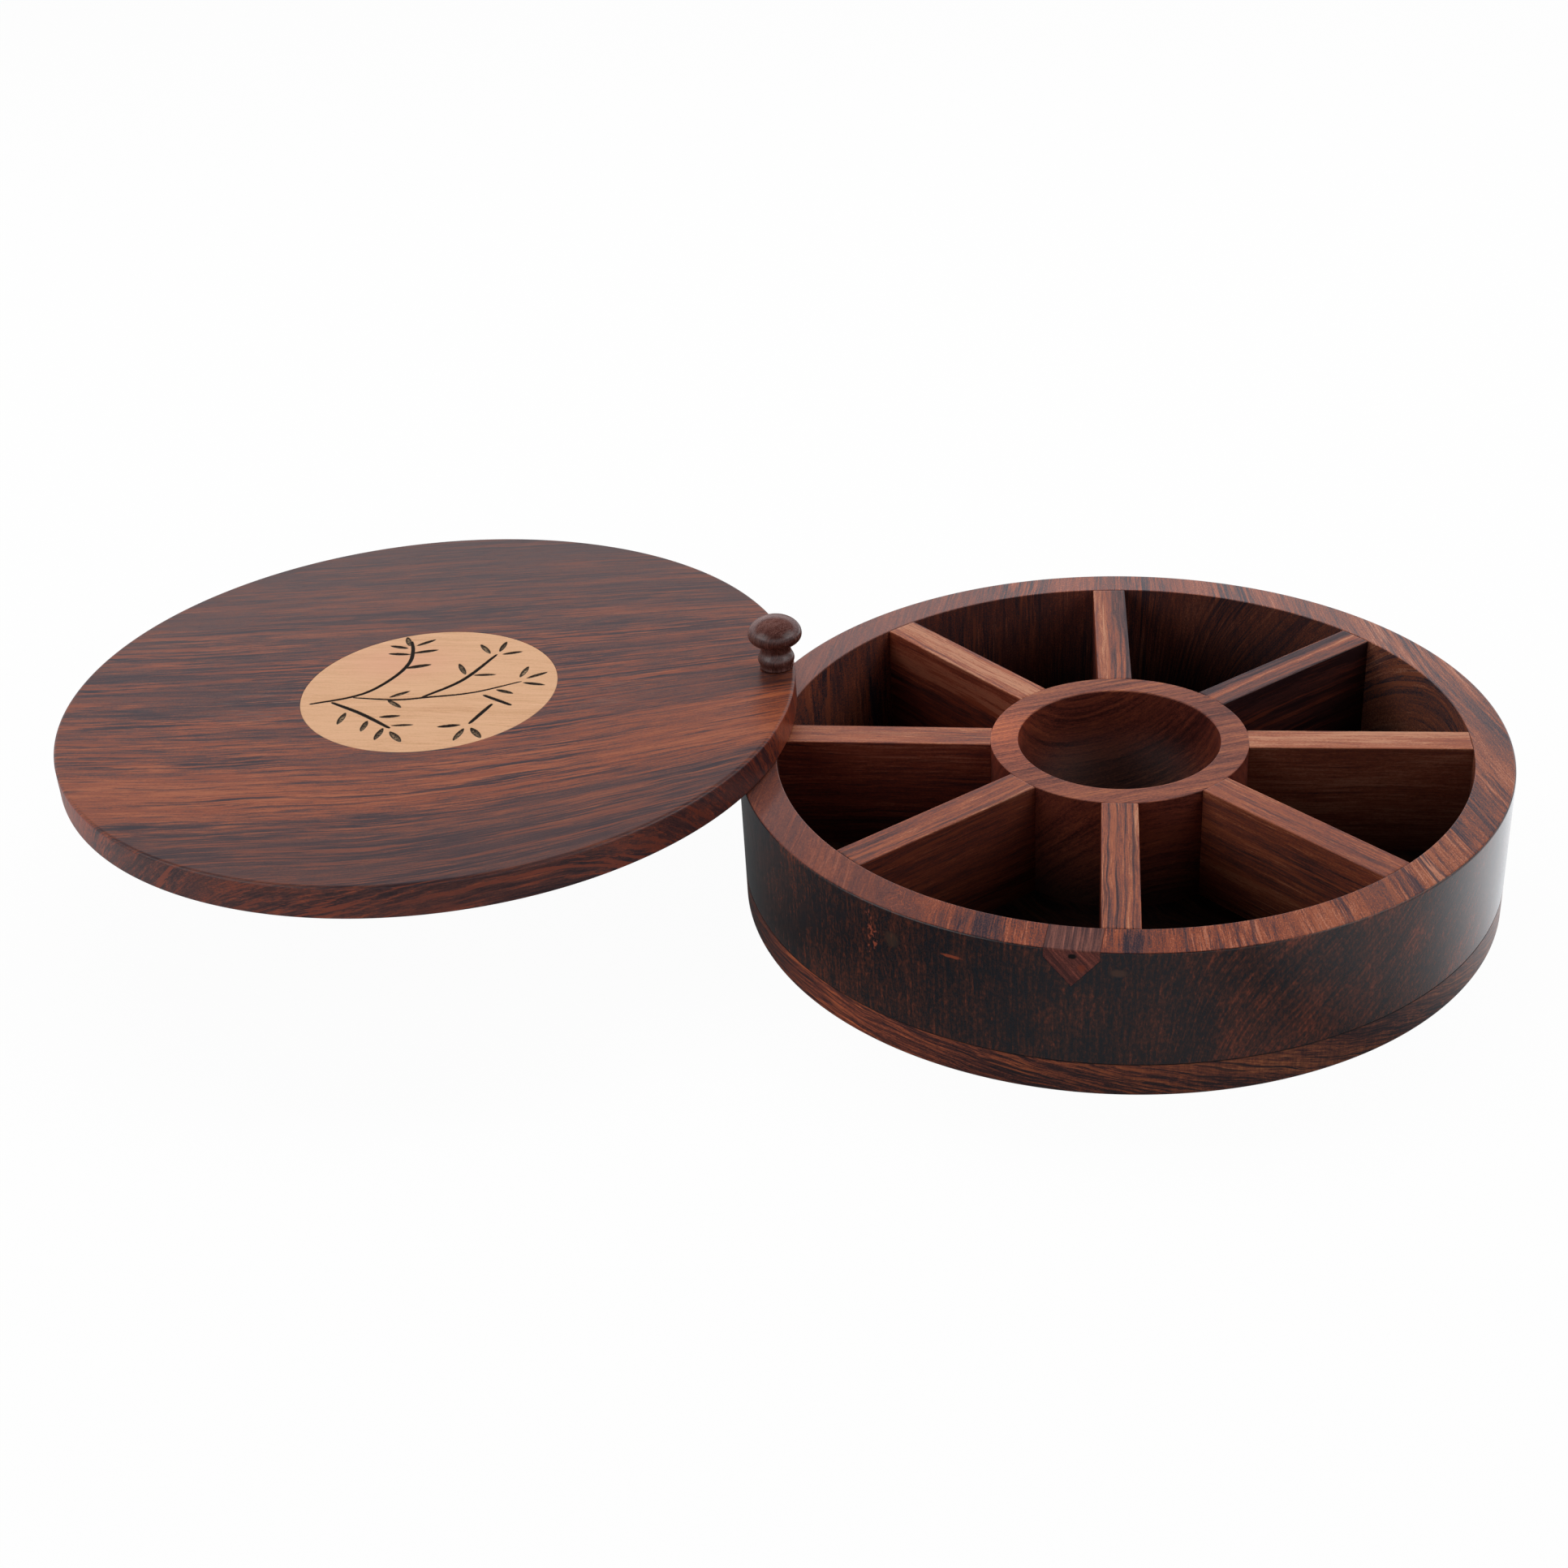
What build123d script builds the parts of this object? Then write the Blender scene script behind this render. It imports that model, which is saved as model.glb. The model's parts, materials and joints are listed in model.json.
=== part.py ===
"""Round wooden spice box with a swivelling lid. All sizes are in millimetres.

The origin is the centre of the underside, +Z is up and the front of the box faces -Y.
Bearings are in degrees, anticlockwise from +X, seen from above.
The lid is drawn open, swung out to the left about the pin at the rim.
"""

import os
from math import cos, radians, sin, sqrt

from build123d import *

# Body of the box: a base board and a solid ring for the wall
box_diameter = 254.0
wall_thickness = 12.7
wall_height = 39.6
base_thickness = 11.5
rim_edge_round = 0.7
base_edge_round = 1.0

# Key let into the front of the rim: straight sides and a pointed foot
key_bearing = 264.0
key_width = 16.6
key_side_depth = 3.0
key_depth = 12.5

# Cup in the middle, a turned block with a round-bottomed hollow
cup_diameter = 85.4
cup_rim_width = 9.3
cup_floor_thickness = 5.0
cup_bowl_round = 24.0
cup_edge_round = 0.5

# Dividers, butted between the cup and the wall and laid out by hand
divider_thickness = 11.7
divider_edge_round = 0.4
divider_bearings = {
    "right": 1.0,
    "back_right": 43.0,
    "back": 92.0,
    "back_left": 134.0,
    "left": 180.0,
    "front_left": 223.5,
    "front": 270.5,
    "front_right": 316.5,
}

# Lid, flush with the wall all round when shut, with a pale disc let into the middle of its top
lid_overhang = 0.0
lid_thickness = 11.7
lid_edge_round = 1.1
lid_swing = 158.0
inlay_diameter = 89.0
inlay_thickness = 3.0

# Pin that the lid turns on
pivot_bearing = 167.6
pin_diameter = 5.0
pin_in_wall = 24.0
pin_in_knob = 9.0
pin_end_chamfer = 0.5

# Knob, turned in one piece: foot, bead, neck and a flattened round head
knob_foot_diameter = 12.2
knob_foot_height = 2.0
knob_bead_diameter = 13.0
knob_bead_height = 3.9
knob_neck_diameter = 10.5
knob_neck_height = 8.3
knob_head_diameter = 18.7
knob_head_height = 13.2
knob_height = 18.6

# Clearances: glued joints, the running fit on the pin, and the gaps under and over the lid
glue_line = 0.05
pin_running_clearance = 0.08
lid_gap = 0.3
knob_gap = 0.3

# Radii and levels that follow from the sizes above
box_radius = box_diameter / 2
ring_inner_radius = box_radius - wall_thickness
cup_radius = cup_diameter / 2
cup_hollow_radius = cup_radius - cup_rim_width
lid_diameter = box_diameter + 2 * lid_overhang
lid_radius = lid_diameter / 2
pin_radius = pin_diameter / 2
rim_level = base_thickness + wall_height
cup_floor_level = base_thickness + cup_floor_thickness
lid_bottom = rim_level + lid_gap
lid_top = lid_bottom + lid_thickness
knob_bottom = lid_top + knob_gap
pin_bottom = rim_level - pin_in_wall
pin_top = knob_bottom + pin_in_knob

# The pin stands in the middle of the wall. The shut lid lies over the box, and the open one
# has swung clockwise about the pin, as far from the pin as before.
pivot_radius = box_radius - wall_thickness / 2
pivot_x = pivot_radius * cos(radians(pivot_bearing))
pivot_y = pivot_radius * sin(radians(pivot_bearing))
half_turn = 180
lid_bearing = pivot_bearing + half_turn - lid_swing
lid_x = pivot_x + pivot_radius * cos(radians(lid_bearing))
lid_y = pivot_y + pivot_radius * sin(radians(lid_bearing))

# Planes that the pieces are drawn on
floor_plane = Plane.XY.offset(base_thickness)
lid_plane = Plane(origin=(lid_x, lid_y, lid_bottom))
pin_plane = Plane(origin=(pivot_x, pivot_y, pin_bottom))
knob_plane = Plane(origin=(pivot_x, pivot_y, knob_bottom), x_dir=(1, 0, 0), z_dir=(0, -1, 0))
knob_underside = Plane(origin=(pivot_x, pivot_y, knob_bottom), z_dir=(0, 0, -1))
key_along = (-sin(radians(key_bearing)), cos(radians(key_bearing)), 0)
key_outward = (cos(radians(key_bearing)), sin(radians(key_bearing)), 0)
key_plane = Plane(origin=(0, 0, rim_level), x_dir=key_along, z_dir=key_outward)

os.makedirs("parts", exist_ok=True)

# Base board
with BuildPart() as base_disc:
    with BuildSketch(Plane.XY):
        Circle(box_radius)
    extrude(amount=base_thickness)
    fillet(base_disc.edges().sort_by(Axis.Z)[0], radius=base_edge_round)

base_disc.part.label = "base_disc"
export_step(base_disc.part, "parts/base_disc.step")

# Ring of wood that the wall and its key are both cut from
with BuildPart() as ring_blank:
    with BuildSketch(floor_plane):
        Circle(box_radius)
        Circle(ring_inner_radius, mode=Mode.SUBTRACT)
    extrude(amount=wall_height)
    fillet(ring_blank.edges().group_by(Axis.Z)[-1].sort_by(SortBy.RADIUS)[-1], radius=rim_edge_round)

# Outline of the notch, from above the rim down to its point, and of the key that fills it
with BuildSketch(key_plane) as notch_outline:
    with BuildLine():
        Polyline(
            (-key_width / 2, key_side_depth),
            (-key_width / 2, -key_side_depth),
            (0, -key_depth),
            (key_width / 2, -key_side_depth),
            (key_width / 2, key_side_depth),
            close=True,
        )
    make_face()

with BuildSketch(key_plane) as key_outline:
    add(notch_outline.sketch_local)
    offset(amount=-glue_line, kind=Kind.INTERSECTION, mode=Mode.REPLACE)

# Wall ring, with the notch for the key and the blind hole for the pin
with BuildPart() as wall_ring:
    add(ring_blank.part)
    extrude(to_extrude=notch_outline.sketch, amount=box_diameter, mode=Mode.SUBTRACT)
    with Locations((pivot_x, pivot_y, rim_level)):
        Hole(radius=pin_radius + glue_line, depth=pin_in_wall)

wall_ring.part.label = "wall_ring"
export_step(wall_ring.part, "parts/wall_ring.step")

# Key, flush with the rim and with both faces of the wall
with BuildPart() as wall_key:
    add(ring_blank.part)
    extrude(to_extrude=key_outline.sketch, amount=box_diameter, mode=Mode.INTERSECT)

wall_key.part.label = "wall_key"
export_step(wall_key.part, "parts/wall_key.step")

# Dividers, each a board on edge whose ends follow the cup and the wall
for place, bearing in divider_bearings.items():
    with BuildPart() as divider:
        with BuildSketch(floor_plane.rotated((0, 0, bearing))):
            Circle(ring_inner_radius - glue_line)
            Circle(cup_radius + glue_line, mode=Mode.SUBTRACT)
            Rectangle(
                box_radius,
                divider_thickness,
                align=(Align.MIN, Align.CENTER),
                mode=Mode.INTERSECT,
            )
        extrude(amount=wall_height)
        long_edges = divider.edges().group_by(Axis.Z)[-1].filter_by(GeomType.LINE)
        fillet(long_edges, radius=divider_edge_round)

    divider.part.label = f"divider_{place}"
    export_step(divider.part, f"parts/divider_{place}.step")

# Centre cup
with BuildPart() as centre_cup:
    with BuildSketch(floor_plane):
        Circle(cup_radius)
    extrude(amount=wall_height)
    with BuildSketch(Plane.XY.offset(cup_floor_level)):
        Circle(cup_hollow_radius)
    extrude(amount=rim_level - cup_floor_level, mode=Mode.SUBTRACT)
    hollow_edges = centre_cup.edges(Select.LAST).filter_by(GeomType.CIRCLE).sort_by(Axis.Z)
    fillet(hollow_edges[-1], radius=cup_edge_round)
    bowl_edge = centre_cup.edges().filter_by_position(Axis.Z, cup_floor_level, cup_floor_level)
    fillet(bowl_edge, radius=cup_bowl_round)

centre_cup.part.label = "centre_cup"
export_step(centre_cup.part, "parts/centre_cup.step")

# Pin, standing on the bottom of its hole in the wall
with BuildPart() as pivot_pin:
    with BuildSketch(pin_plane):
        Circle(pin_radius)
    extrude(amount=pin_top - pin_bottom)
    chamfer(pivot_pin.edges().filter_by(GeomType.CIRCLE), length=pin_end_chamfer)

pivot_pin.part.label = "pivot_pin"
export_step(pivot_pin.part, "parts/pivot_pin.step")

# Knob, with a blind socket that sits on the pin's top end
def quarter_curve(start, corner, end):
    """A quarter of an ellipse as one cubic curve, tangent to both sides of the corner."""
    start, corner, end = Vector(*start), Vector(*corner), Vector(*end)
    handle = 4 / 3 * (sqrt(2) - 1)
    return Bezier(start, start + (corner - start) * handle, end + (corner - end) * handle, end)


with BuildPart() as knob:
    with BuildSketch(knob_plane):
        with BuildLine():
            foot = Polyline(
                (0, 0),
                (knob_foot_diameter / 2, 0),
                (knob_foot_diameter / 2, knob_foot_height),
            )
            ThreePointArc(
                foot @ 1,
                (knob_bead_diameter / 2, knob_bead_height),
                (knob_neck_diameter / 2, knob_neck_height),
            )
            quarter_curve(
                (knob_neck_diameter / 2, knob_neck_height),
                (knob_head_diameter / 2, knob_neck_height),
                (knob_head_diameter / 2, knob_head_height),
            )
            quarter_curve(
                (knob_head_diameter / 2, knob_head_height),
                (knob_head_diameter / 2, knob_height),
                (0, knob_height),
            )
            Line((0, knob_height), (0, 0))
        make_face()
    revolve(axis=Axis((pivot_x, pivot_y, 0), (0, 0, 1)))
    with Locations(knob_underside):
        Hole(radius=pin_radius + glue_line, depth=pin_in_knob)

knob.part.label = "knob"
export_step(knob.part, "parts/knob.step")

# Lid, with the pocket for the inlay and the bore that turns on the pin
with BuildPart() as lid_disc:
    with BuildSketch(lid_plane):
        Circle(lid_radius)
    extrude(amount=lid_thickness)
    fillet(lid_disc.edges().filter_by(GeomType.CIRCLE), radius=lid_edge_round)
    with Locations((lid_x, lid_y, lid_top)):
        Hole(radius=inlay_diameter / 2, depth=inlay_thickness)
    with Locations((pivot_x, pivot_y, lid_top)):
        Hole(radius=pin_radius + pin_running_clearance, depth=lid_thickness)

lid_disc.part.label = "lid_disc"
export_step(lid_disc.part, "parts/lid_disc.step")

# Inlay, flush with the top of the lid
with BuildPart() as inlay_disc:
    with BuildSketch(lid_plane.offset(lid_thickness - inlay_thickness)):
        Circle(inlay_diameter / 2 - glue_line)
    extrude(amount=inlay_thickness)

inlay_disc.part.label = "inlay_disc"
export_step(inlay_disc.part, "parts/inlay_disc.step")
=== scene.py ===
"""Looks of a round wooden spice box: turned and sawn pieces, their woods, the stage and the camera.

Lengths are in metres unless a name says millimetres. +Z is up and the front of the box faces -Y.
Bearings run anticlockwise from +X, seen from above. The wood patterns are solid: each is worked out
in millimetres along, across and into its board, so the faces of one board agree at their edges.
"""

import json
from math import cos, pi, radians, sin

import bpy
import numpy as np
from bpy.props import FloatProperty, FloatVectorProperty, PointerProperty
from mathutils import Matrix, Vector


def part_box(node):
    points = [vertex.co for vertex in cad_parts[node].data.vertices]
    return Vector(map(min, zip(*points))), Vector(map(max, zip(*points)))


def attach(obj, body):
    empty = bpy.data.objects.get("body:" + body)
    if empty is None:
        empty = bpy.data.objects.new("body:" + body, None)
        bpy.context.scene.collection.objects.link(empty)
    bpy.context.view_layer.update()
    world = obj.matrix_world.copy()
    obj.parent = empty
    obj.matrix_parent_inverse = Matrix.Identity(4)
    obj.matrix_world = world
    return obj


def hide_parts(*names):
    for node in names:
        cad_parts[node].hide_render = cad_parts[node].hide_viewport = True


bl_info = {
    "name": "Spice box",
    "version": (1, 0, 0),
    "blender": (4, 5, 0),
    "location": "View3D > Sidebar > Spice box",
    "description": "Builds the looks of a round wooden spice box around its packed model",
    "category": "Object",
}

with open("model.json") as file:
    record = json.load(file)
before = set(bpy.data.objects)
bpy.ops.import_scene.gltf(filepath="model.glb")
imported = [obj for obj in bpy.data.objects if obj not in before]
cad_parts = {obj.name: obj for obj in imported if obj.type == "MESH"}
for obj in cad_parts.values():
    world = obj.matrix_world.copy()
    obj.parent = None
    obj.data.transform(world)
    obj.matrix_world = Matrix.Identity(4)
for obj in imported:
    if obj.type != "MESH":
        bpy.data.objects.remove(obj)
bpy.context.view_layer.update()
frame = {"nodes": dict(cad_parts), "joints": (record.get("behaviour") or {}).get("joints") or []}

MM = 0.001
# Two places nearer than this are the same, and an edge that turns by more than SHARP is a sharp one
TINY = 0.01 * MM
SHARP = radians(40)
# Glue line between fixed pieces, running clearance round the pin, and the round of a sanded edge
GLUE = 0.05 * MM
RUNNING = 0.08 * MM
SANDED = 0.25 * MM


# Sizes read from the packed model


def cad_points(node):
    """All the vertices of a CAD node, one row each."""
    vertices = frame["nodes"][node].data.vertices
    points = np.empty(len(vertices) * 3)
    vertices.foreach_get("co", points)
    return points.reshape(-1, 3)


def heights(node):
    """Lowest and highest level of a CAD node."""
    low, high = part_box(node)
    return low.z, high.z


def axis_of(node):
    """Where a round CAD node's vertical axis stands: the middle of its box, seen from above."""
    low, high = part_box(node)
    return np.array(((low.x + high.x) / 2, (low.y + high.y) / 2))


def half_width(node):
    """Radius of a round CAD node."""
    low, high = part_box(node)
    return (high.x - low.x) / 2


def reach(node):
    """Distances of a CAD node's vertices from the vertical axis of the box."""
    points = cad_points(node)
    return np.hypot(points[:, 0], points[:, 1])


def middle_bearing(node):
    """Bearing of a radial piece, halfway between the two corners of its outer end, and its width.

    Seen from above, a point is the complex number x + iy, and dividing by a direction turns it back.
    """
    points = cad_points(node)
    flat = points[:, 0] + 1j * points[:, 1]
    rough = flat.sum() / abs(flat.sum())
    turned = flat / rough
    angles = np.angle(turned[abs(turned) > abs(turned).max() - TINY])
    middle = np.angle(rough) + (angles.min() + angles.max()) / 2
    across = (flat / np.exp(1j * middle)).imag
    return middle, across.max() - across.min()


WALL_FOOT, RIM = heights("wall_ring")
BOX_RADIUS = reach("wall_ring").max()
WALL_INSIDE = reach("wall_ring").min()
CUP_RADIUS = reach("centre_cup").max()
CUP_LEVELS = cad_points("centre_cup")[:, 2]
# The hollow's side is straight for some way down from the rim
CUP_HOLLOW = reach("centre_cup")[CUP_LEVELS > RIM - 5 * MM].min()
CUP_FLOOR = CUP_LEVELS[CUP_LEVELS > WALL_FOOT + TINY].min()
PIVOT = Vector(frame["joints"][0]["pos_m"])
LID_CENTRE = axis_of("lid_disc")
KEY_BEARING, KEY_WIDTH = middle_bearing("wall_key")


# Numpy surfaces


def rounded(corners, rounds, steps=5, hold=0.12 * MM):
    """A path through right-angled corners, each replaced by a quarter circle.

    With d and e the directions into and out of a corner P and q its radius, the arc's points are
    P - q d + q e - q e cos(t) + q d sin(t) for t from 0 to a quarter turn. One more point on each
    side holds the shading of the flat that follows.
    """
    corners = np.asarray(corners, float)
    sides = np.diff(corners, axis=0)
    ways = sides / np.linalg.norm(sides, axis=1)[:, None]
    inner, into, out = corners[1:-1, None], ways[:-1, None], ways[1:, None]
    q = np.asarray(rounds, float)[:, None, None]
    turn = np.linspace(0, pi / 2, steps + 1)[None, :, None]
    arcs = inner + q * (out * (1 - np.cos(turn)) - into * (1 - np.sin(turn)))
    before = inner - (q + hold) * into
    after = inner + (q + hold) * out
    bends = np.concatenate((before, arcs, after), axis=1).reshape(-1, 2)
    return np.concatenate((corners[:1], bends, corners[-1:]))


def lattice(rows, columns, wrap_rows=False, wrap_columns=False):
    """Corner numbers of the quads of a grid of points that is numbered row by row.

    A quad faces (direction along a row) x (direction from row to row).
    """
    row = np.arange(rows if wrap_rows else rows - 1)[:, None]
    column = np.arange(columns if wrap_columns else columns - 1)[None, :]
    above, beside = (row + 1) % rows, (column + 1) % columns
    corners = (
        row * columns + column,
        row * columns + beside,
        above * columns + beside,
        above * columns + column,
    )
    return np.stack(np.broadcast_arrays(*corners), axis=-1).reshape(-1, 4).tolist()


def fan(rim, hub):
    """Triangles from each edge of a closed loop of points to one more point."""
    rim = np.asarray(rim)
    return np.stack((rim, np.roll(rim, -1), np.full_like(rim, hub)), axis=-1).tolist()


def turned(outline, centre, segments):
    """A turned shape: the outline's points (radius, height) go round the axis through centre.

    x = cx + r cos(t), y = cy + r sin(t), z = h, for t over a full turn. An outline that starts and
    ends on the axis is closed by fans there, and any other one is a closed loop.
    """
    outline = np.asarray(outline, float)
    open_ended = outline[0, 0] < TINY
    rings = outline[1:-1] if open_ended else outline[:-1]
    t = np.linspace(0, 2 * pi, segments, endpoint=False)
    radius, height = rings[:, :1], rings[:, 1:]
    x = centre[0] + radius * np.cos(t)
    y = centre[1] + radius * np.sin(t)
    points = np.stack((x, y, np.broadcast_to(height, x.shape)), axis=-1).reshape(-1, 3)
    faces = lattice(len(rings), segments, not open_ended, True)
    if open_ended:
        hubs = [(*centre, outline[0, 1]), (*centre, outline[-1, 1])]
        last = len(points)
        faces += fan(np.arange(segments)[::-1], last)
        faces += fan(np.arange(last - segments, last), last + 1)
        points = np.concatenate((points, hubs))
    return points, faces


def swept(stations):
    """A bar with flat ends: each row of points is one closed cross-section."""
    rows, columns, _ = stations.shape
    ring = np.arange(columns)
    faces = lattice(rows, columns, False, True)
    faces += [ring[::-1].tolist(), (ring + (rows - 1) * columns).tolist()]
    return stations.reshape(-1, 3), faces


def eased(distance, radius):
    """How far a quarter-round edge has dropped at a distance from the end: q - sqrt(q^2 - (q-d)^2)."""
    left = np.clip(radius - distance, 0, radius)
    return radius - np.sqrt(radius**2 - left**2)


def mesh_of(name, shape):
    """A mesh from a surface's points and faces."""
    points, faces = shape
    mesh = bpy.data.meshes.new(name)
    mesh.from_pydata(np.asarray(points).tolist(), [], faces)
    return mesh


def shade(mesh):
    """Smooth shading that breaks at the sharp edges."""
    mesh.shade_smooth()
    mesh.set_sharp_from_angle(angle=SHARP)


def piece(name, shape, material, body, node):
    """Makes the mesh object of a piece, which rides on a CAD body and stands for a CAD node."""
    mesh = mesh_of(name, shape)
    shade(mesh)
    mesh.materials.append(material)
    made = bpy.data.objects.new(name, mesh)
    bpy.context.scene.collection.objects.link(made)
    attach(made, body)
    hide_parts(node)
    return made


def cut(made, shape):
    """Takes a closed shape out of a piece."""
    cutter = bpy.data.objects.new("cutter", mesh_of("cutter", shape))
    bpy.context.scene.collection.objects.link(cutter)
    taken = made.modifiers.new("cut", "BOOLEAN")
    taken.object = cutter
    taken.operation = "DIFFERENCE"
    taken.solver = "EXACT"
    graph = bpy.context.evaluated_depsgraph_get()
    result = bpy.data.meshes.new_from_object(made.evaluated_get(graph))
    made.modifiers.clear()
    made.data = result
    shade(result)
    bpy.data.objects.remove(cutter)


def drill(radius, centre, low, high):
    """The upright cylinder that a round hole takes out."""
    return turned([(0, low), (radius, low), (radius, high), (0, high)], centre, 48)


# Node trees


class Nodes:
    """Adds nodes to a tree and joins them. Each method gives back the new node's output socket."""

    def __init__(self, tree):
        self.tree = tree
        tree.nodes.clear()

    def put(self, socket, value):
        """Links a socket, or sets it to a constant."""
        if isinstance(value, bpy.types.NodeSocket):
            self.tree.links.new(value, socket)
        elif value is not None:
            socket.default_value = value

    def add(self, kind, inputs=(), output=0, **settings):
        """A node of a kind, its settings, and its inputs by name or number."""
        node = self.tree.nodes.new(kind)
        for name, value in settings.items():
            setattr(node, name, value)
        for name, value in dict(inputs).items():
            self.put(node.inputs[name], value)
        return node.outputs[output] if len(node.outputs) else node

    def math(self, operation, *values):
        return self.add("ShaderNodeMath", enumerate(values), operation=operation)

    def plus(self, *values):
        """Sum of any number of values."""
        total = values[0]
        for value in values[1:]:
            total = self.math("ADD", total, value)
        return total

    def times(self, *values):
        """Product of any number of values."""
        total = values[0]
        for value in values[1:]:
            total = self.math("MULTIPLY", total, value)
        return total

    def centred(self, value, gain):
        """How far a noise lies from its middle, times a gain."""
        return self.times(self.math("SUBTRACT", value, 0.5), gain)

    def split(self, vector):
        node = self.tree.nodes.new("ShaderNodeSeparateXYZ")
        self.put(node.inputs[0], vector)
        return node.outputs

    def join(self, x, y, z):
        return self.add("ShaderNodeCombineXYZ", enumerate((x, y, z)))

    def noise(self, vector, size, detail=2, rough=0.5, distort=0, seed=0):
        """Noise between 0 and 1 whose blobs have the given sizes along the three axes."""
        scaled = self.add(
            "ShaderNodeMapping",
            {
                "Vector": vector,
                "Location": (seed * 3.7, seed * 5.3 + 11, seed * 7.1 - 4),
                "Scale": [1 / length for length in size],
            },
        )
        inputs = {
            "Vector": scaled,
            "Scale": 1.0,
            "Detail": detail,
            "Roughness": rough,
            "Distortion": distort,
        }
        return self.add("ShaderNodeTexNoise", inputs)

    def remap(self, value, low, high, to_low=0.0, to_high=1.0, smooth=False):
        """Value moved from one span to another and held inside it."""
        kind = "SMOOTHSTEP" if smooth else "LINEAR"
        inputs = enumerate((value, low, high, to_low, to_high))
        return self.add("ShaderNodeMapRange", inputs, interpolation_type=kind, clamp=True)

    def ramp(self, value, colours):
        """Colours at places from 0 to 1, joined smoothly."""
        node = self.tree.nodes.new("ShaderNodeValToRGB")
        self.put(node.inputs[0], value)
        elements = node.color_ramp.elements
        while len(elements) < len(colours):
            elements.new(0.5)
        for element, (place, colour) in zip(elements, colours):
            element.position = place
            element.color = (*colour[:3], 1)
        return node.outputs[0]

    def profile(self, value, points):
        """A value that follows another one: straight lines between points (place, level)."""
        low, high = points[0][0], points[-1][0]
        place = self.remap(value, low, high)
        greys = [((at - low) / (high - low), (level + 0.5,) * 3) for at, level in points]
        return self.math("SUBTRACT", self.ramp(place, greys), 0.5)

    def spot(self, place, centre, size, edge=0.35, ragged=0.5, seed=0):
        """1 inside a ragged ellipsoid, 0 outside it. Its size is its three half axes."""
        inputs = {"Vector": place, "Location": centre, "Scale": size}
        inside = self.add("ShaderNodeMapping", inputs, vector_type="TEXTURE")
        far = self.add("ShaderNodeVectorMath", {0: inside}, output="Value", operation="LENGTH")
        rough = self.noise(place, (1.3, 1.3, 1.3), 3, 0.6, 0, seed)
        far = self.plus(far, self.centred(rough, ragged * 2))
        return self.remap(far, 1 - edge, 1 + edge, 1, 0, True)

    def mix(self, share, first, second, blend="MIX"):
        """Colours mixed by a share of the second one."""
        first, second = (v if not isinstance(v, tuple) else (*v[:3], 1) for v in (first, second))
        inputs = {0: share, 6: first, 7: second}
        return self.add("ShaderNodeMix", inputs, output=2, data_type="RGBA", blend_type=blend)


def linear(red, green, blue):
    """A colour given as 0 to 255 on a screen, as the linear values that Blender works in."""
    values = np.array((red, green, blue)) / 255
    return tuple(np.where(values < 0.04045, values / 12.92, ((values + 0.055) / 1.055) ** 2.4))


# Woods


def board(nodes, origin, turn):
    """Millimetres along the fibres, across them and into the board, from object coordinates."""
    place = nodes.add("ShaderNodeTexCoord", output="Object")
    inputs = {"Vector": place, "Location": origin, "Rotation": turn, "Scale": (MM, MM, MM)}
    return nodes.add("ShaderNodeMapping", inputs, vector_type="TEXTURE")


# How a board is figured, unless a piece says otherwise. Sizes are in millimetres along, across and
# into the board, gains say how far a noise moves the tone, and shares how much a colour covers.
FIGURE = {
    "spread": 1.0,
    "tilt": 0.8,
    "wave": (90, 35, 50),
    "wave_height": 5.0,
    "rings": (200, 2.6, 120),
    "ring_gain": 1.5,
    "streaks": (34, 0.9, 3.0),
    "streak_gain": 1.5,
    "fibres": (7, 0.35, 0.5),
    "fibre_gain": 0.7,
    "zones": (170, 20, 50),
    "zone_gain": 0.8,
    "calm": (60, 14, 40),
    "calm_gain": 0.4,
    "lines": (110, 2.2, 50),
    "line_edge": 0.035,
    "flame_above": 0.58,
    "flame_share": 0.6,
    "ink_below": 0.43,
    "ink_share": 0.75,
    "grit": (0.9, 0.45, 0.45),
    "grit_gain": 0.5,
    "pores": (3.2, 0.28, 0.28),
    "pore_share": 0.4,
    "level": 0.5,
    # side_tint colours upright faces: partly the wood's own side colour, partly painted light and shade for
    # how the lamps fall on them
    "side_tint": (0.7, 0.55, 0.55),
    "strokes": (40, 0.9, 7),
    "end_share": 0.3,
    "gloss": 0.34,
    "specular": 0.35,
    "relief": 0.12,
}


def grain_tone(n, f, place, grain, seed):
    """The tone of the figure, and the three noises that later steps share.

    Rings, streaks and fibres are noises that are long along the board and ever finer across it,
    zones shift whole stretches between dark and orange, and calm stretches have less contrast.
    """
    rings = n.noise(grain, f["rings"], 3, 0.65, 0, seed + 1)
    streaks = n.noise(grain, f["streaks"], 4, 0.65, 0.1, seed + 2)
    fibres = n.noise(grain, f["fibres"], 2, 0.6, 0, seed + 3)
    zones = n.noise(grain, f["zones"], 1, 0.5, 0, seed + 4)
    quiet = n.noise(grain, f["calm"], 1, 0.5, 0, seed + 9)
    calm = n.remap(quiet, 0.35, 0.65, 1 - f["calm_gain"], 1 + f["calm_gain"])
    figured = n.plus(n.centred(rings, f["ring_gain"]), n.centred(streaks, f["streak_gain"]))
    grit = n.noise(place, f["grit"], 2, 0.7, 0, seed + 10)
    tone = n.plus(
        f["level"],
        n.times(calm, figured),
        n.centred(grit, f["grit_gain"]),
        n.centred(fibres, f["fibre_gain"]),
        n.centred(zones, f["zone_gain"]),
    )
    return tone, calm, streaks, fibres


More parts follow.
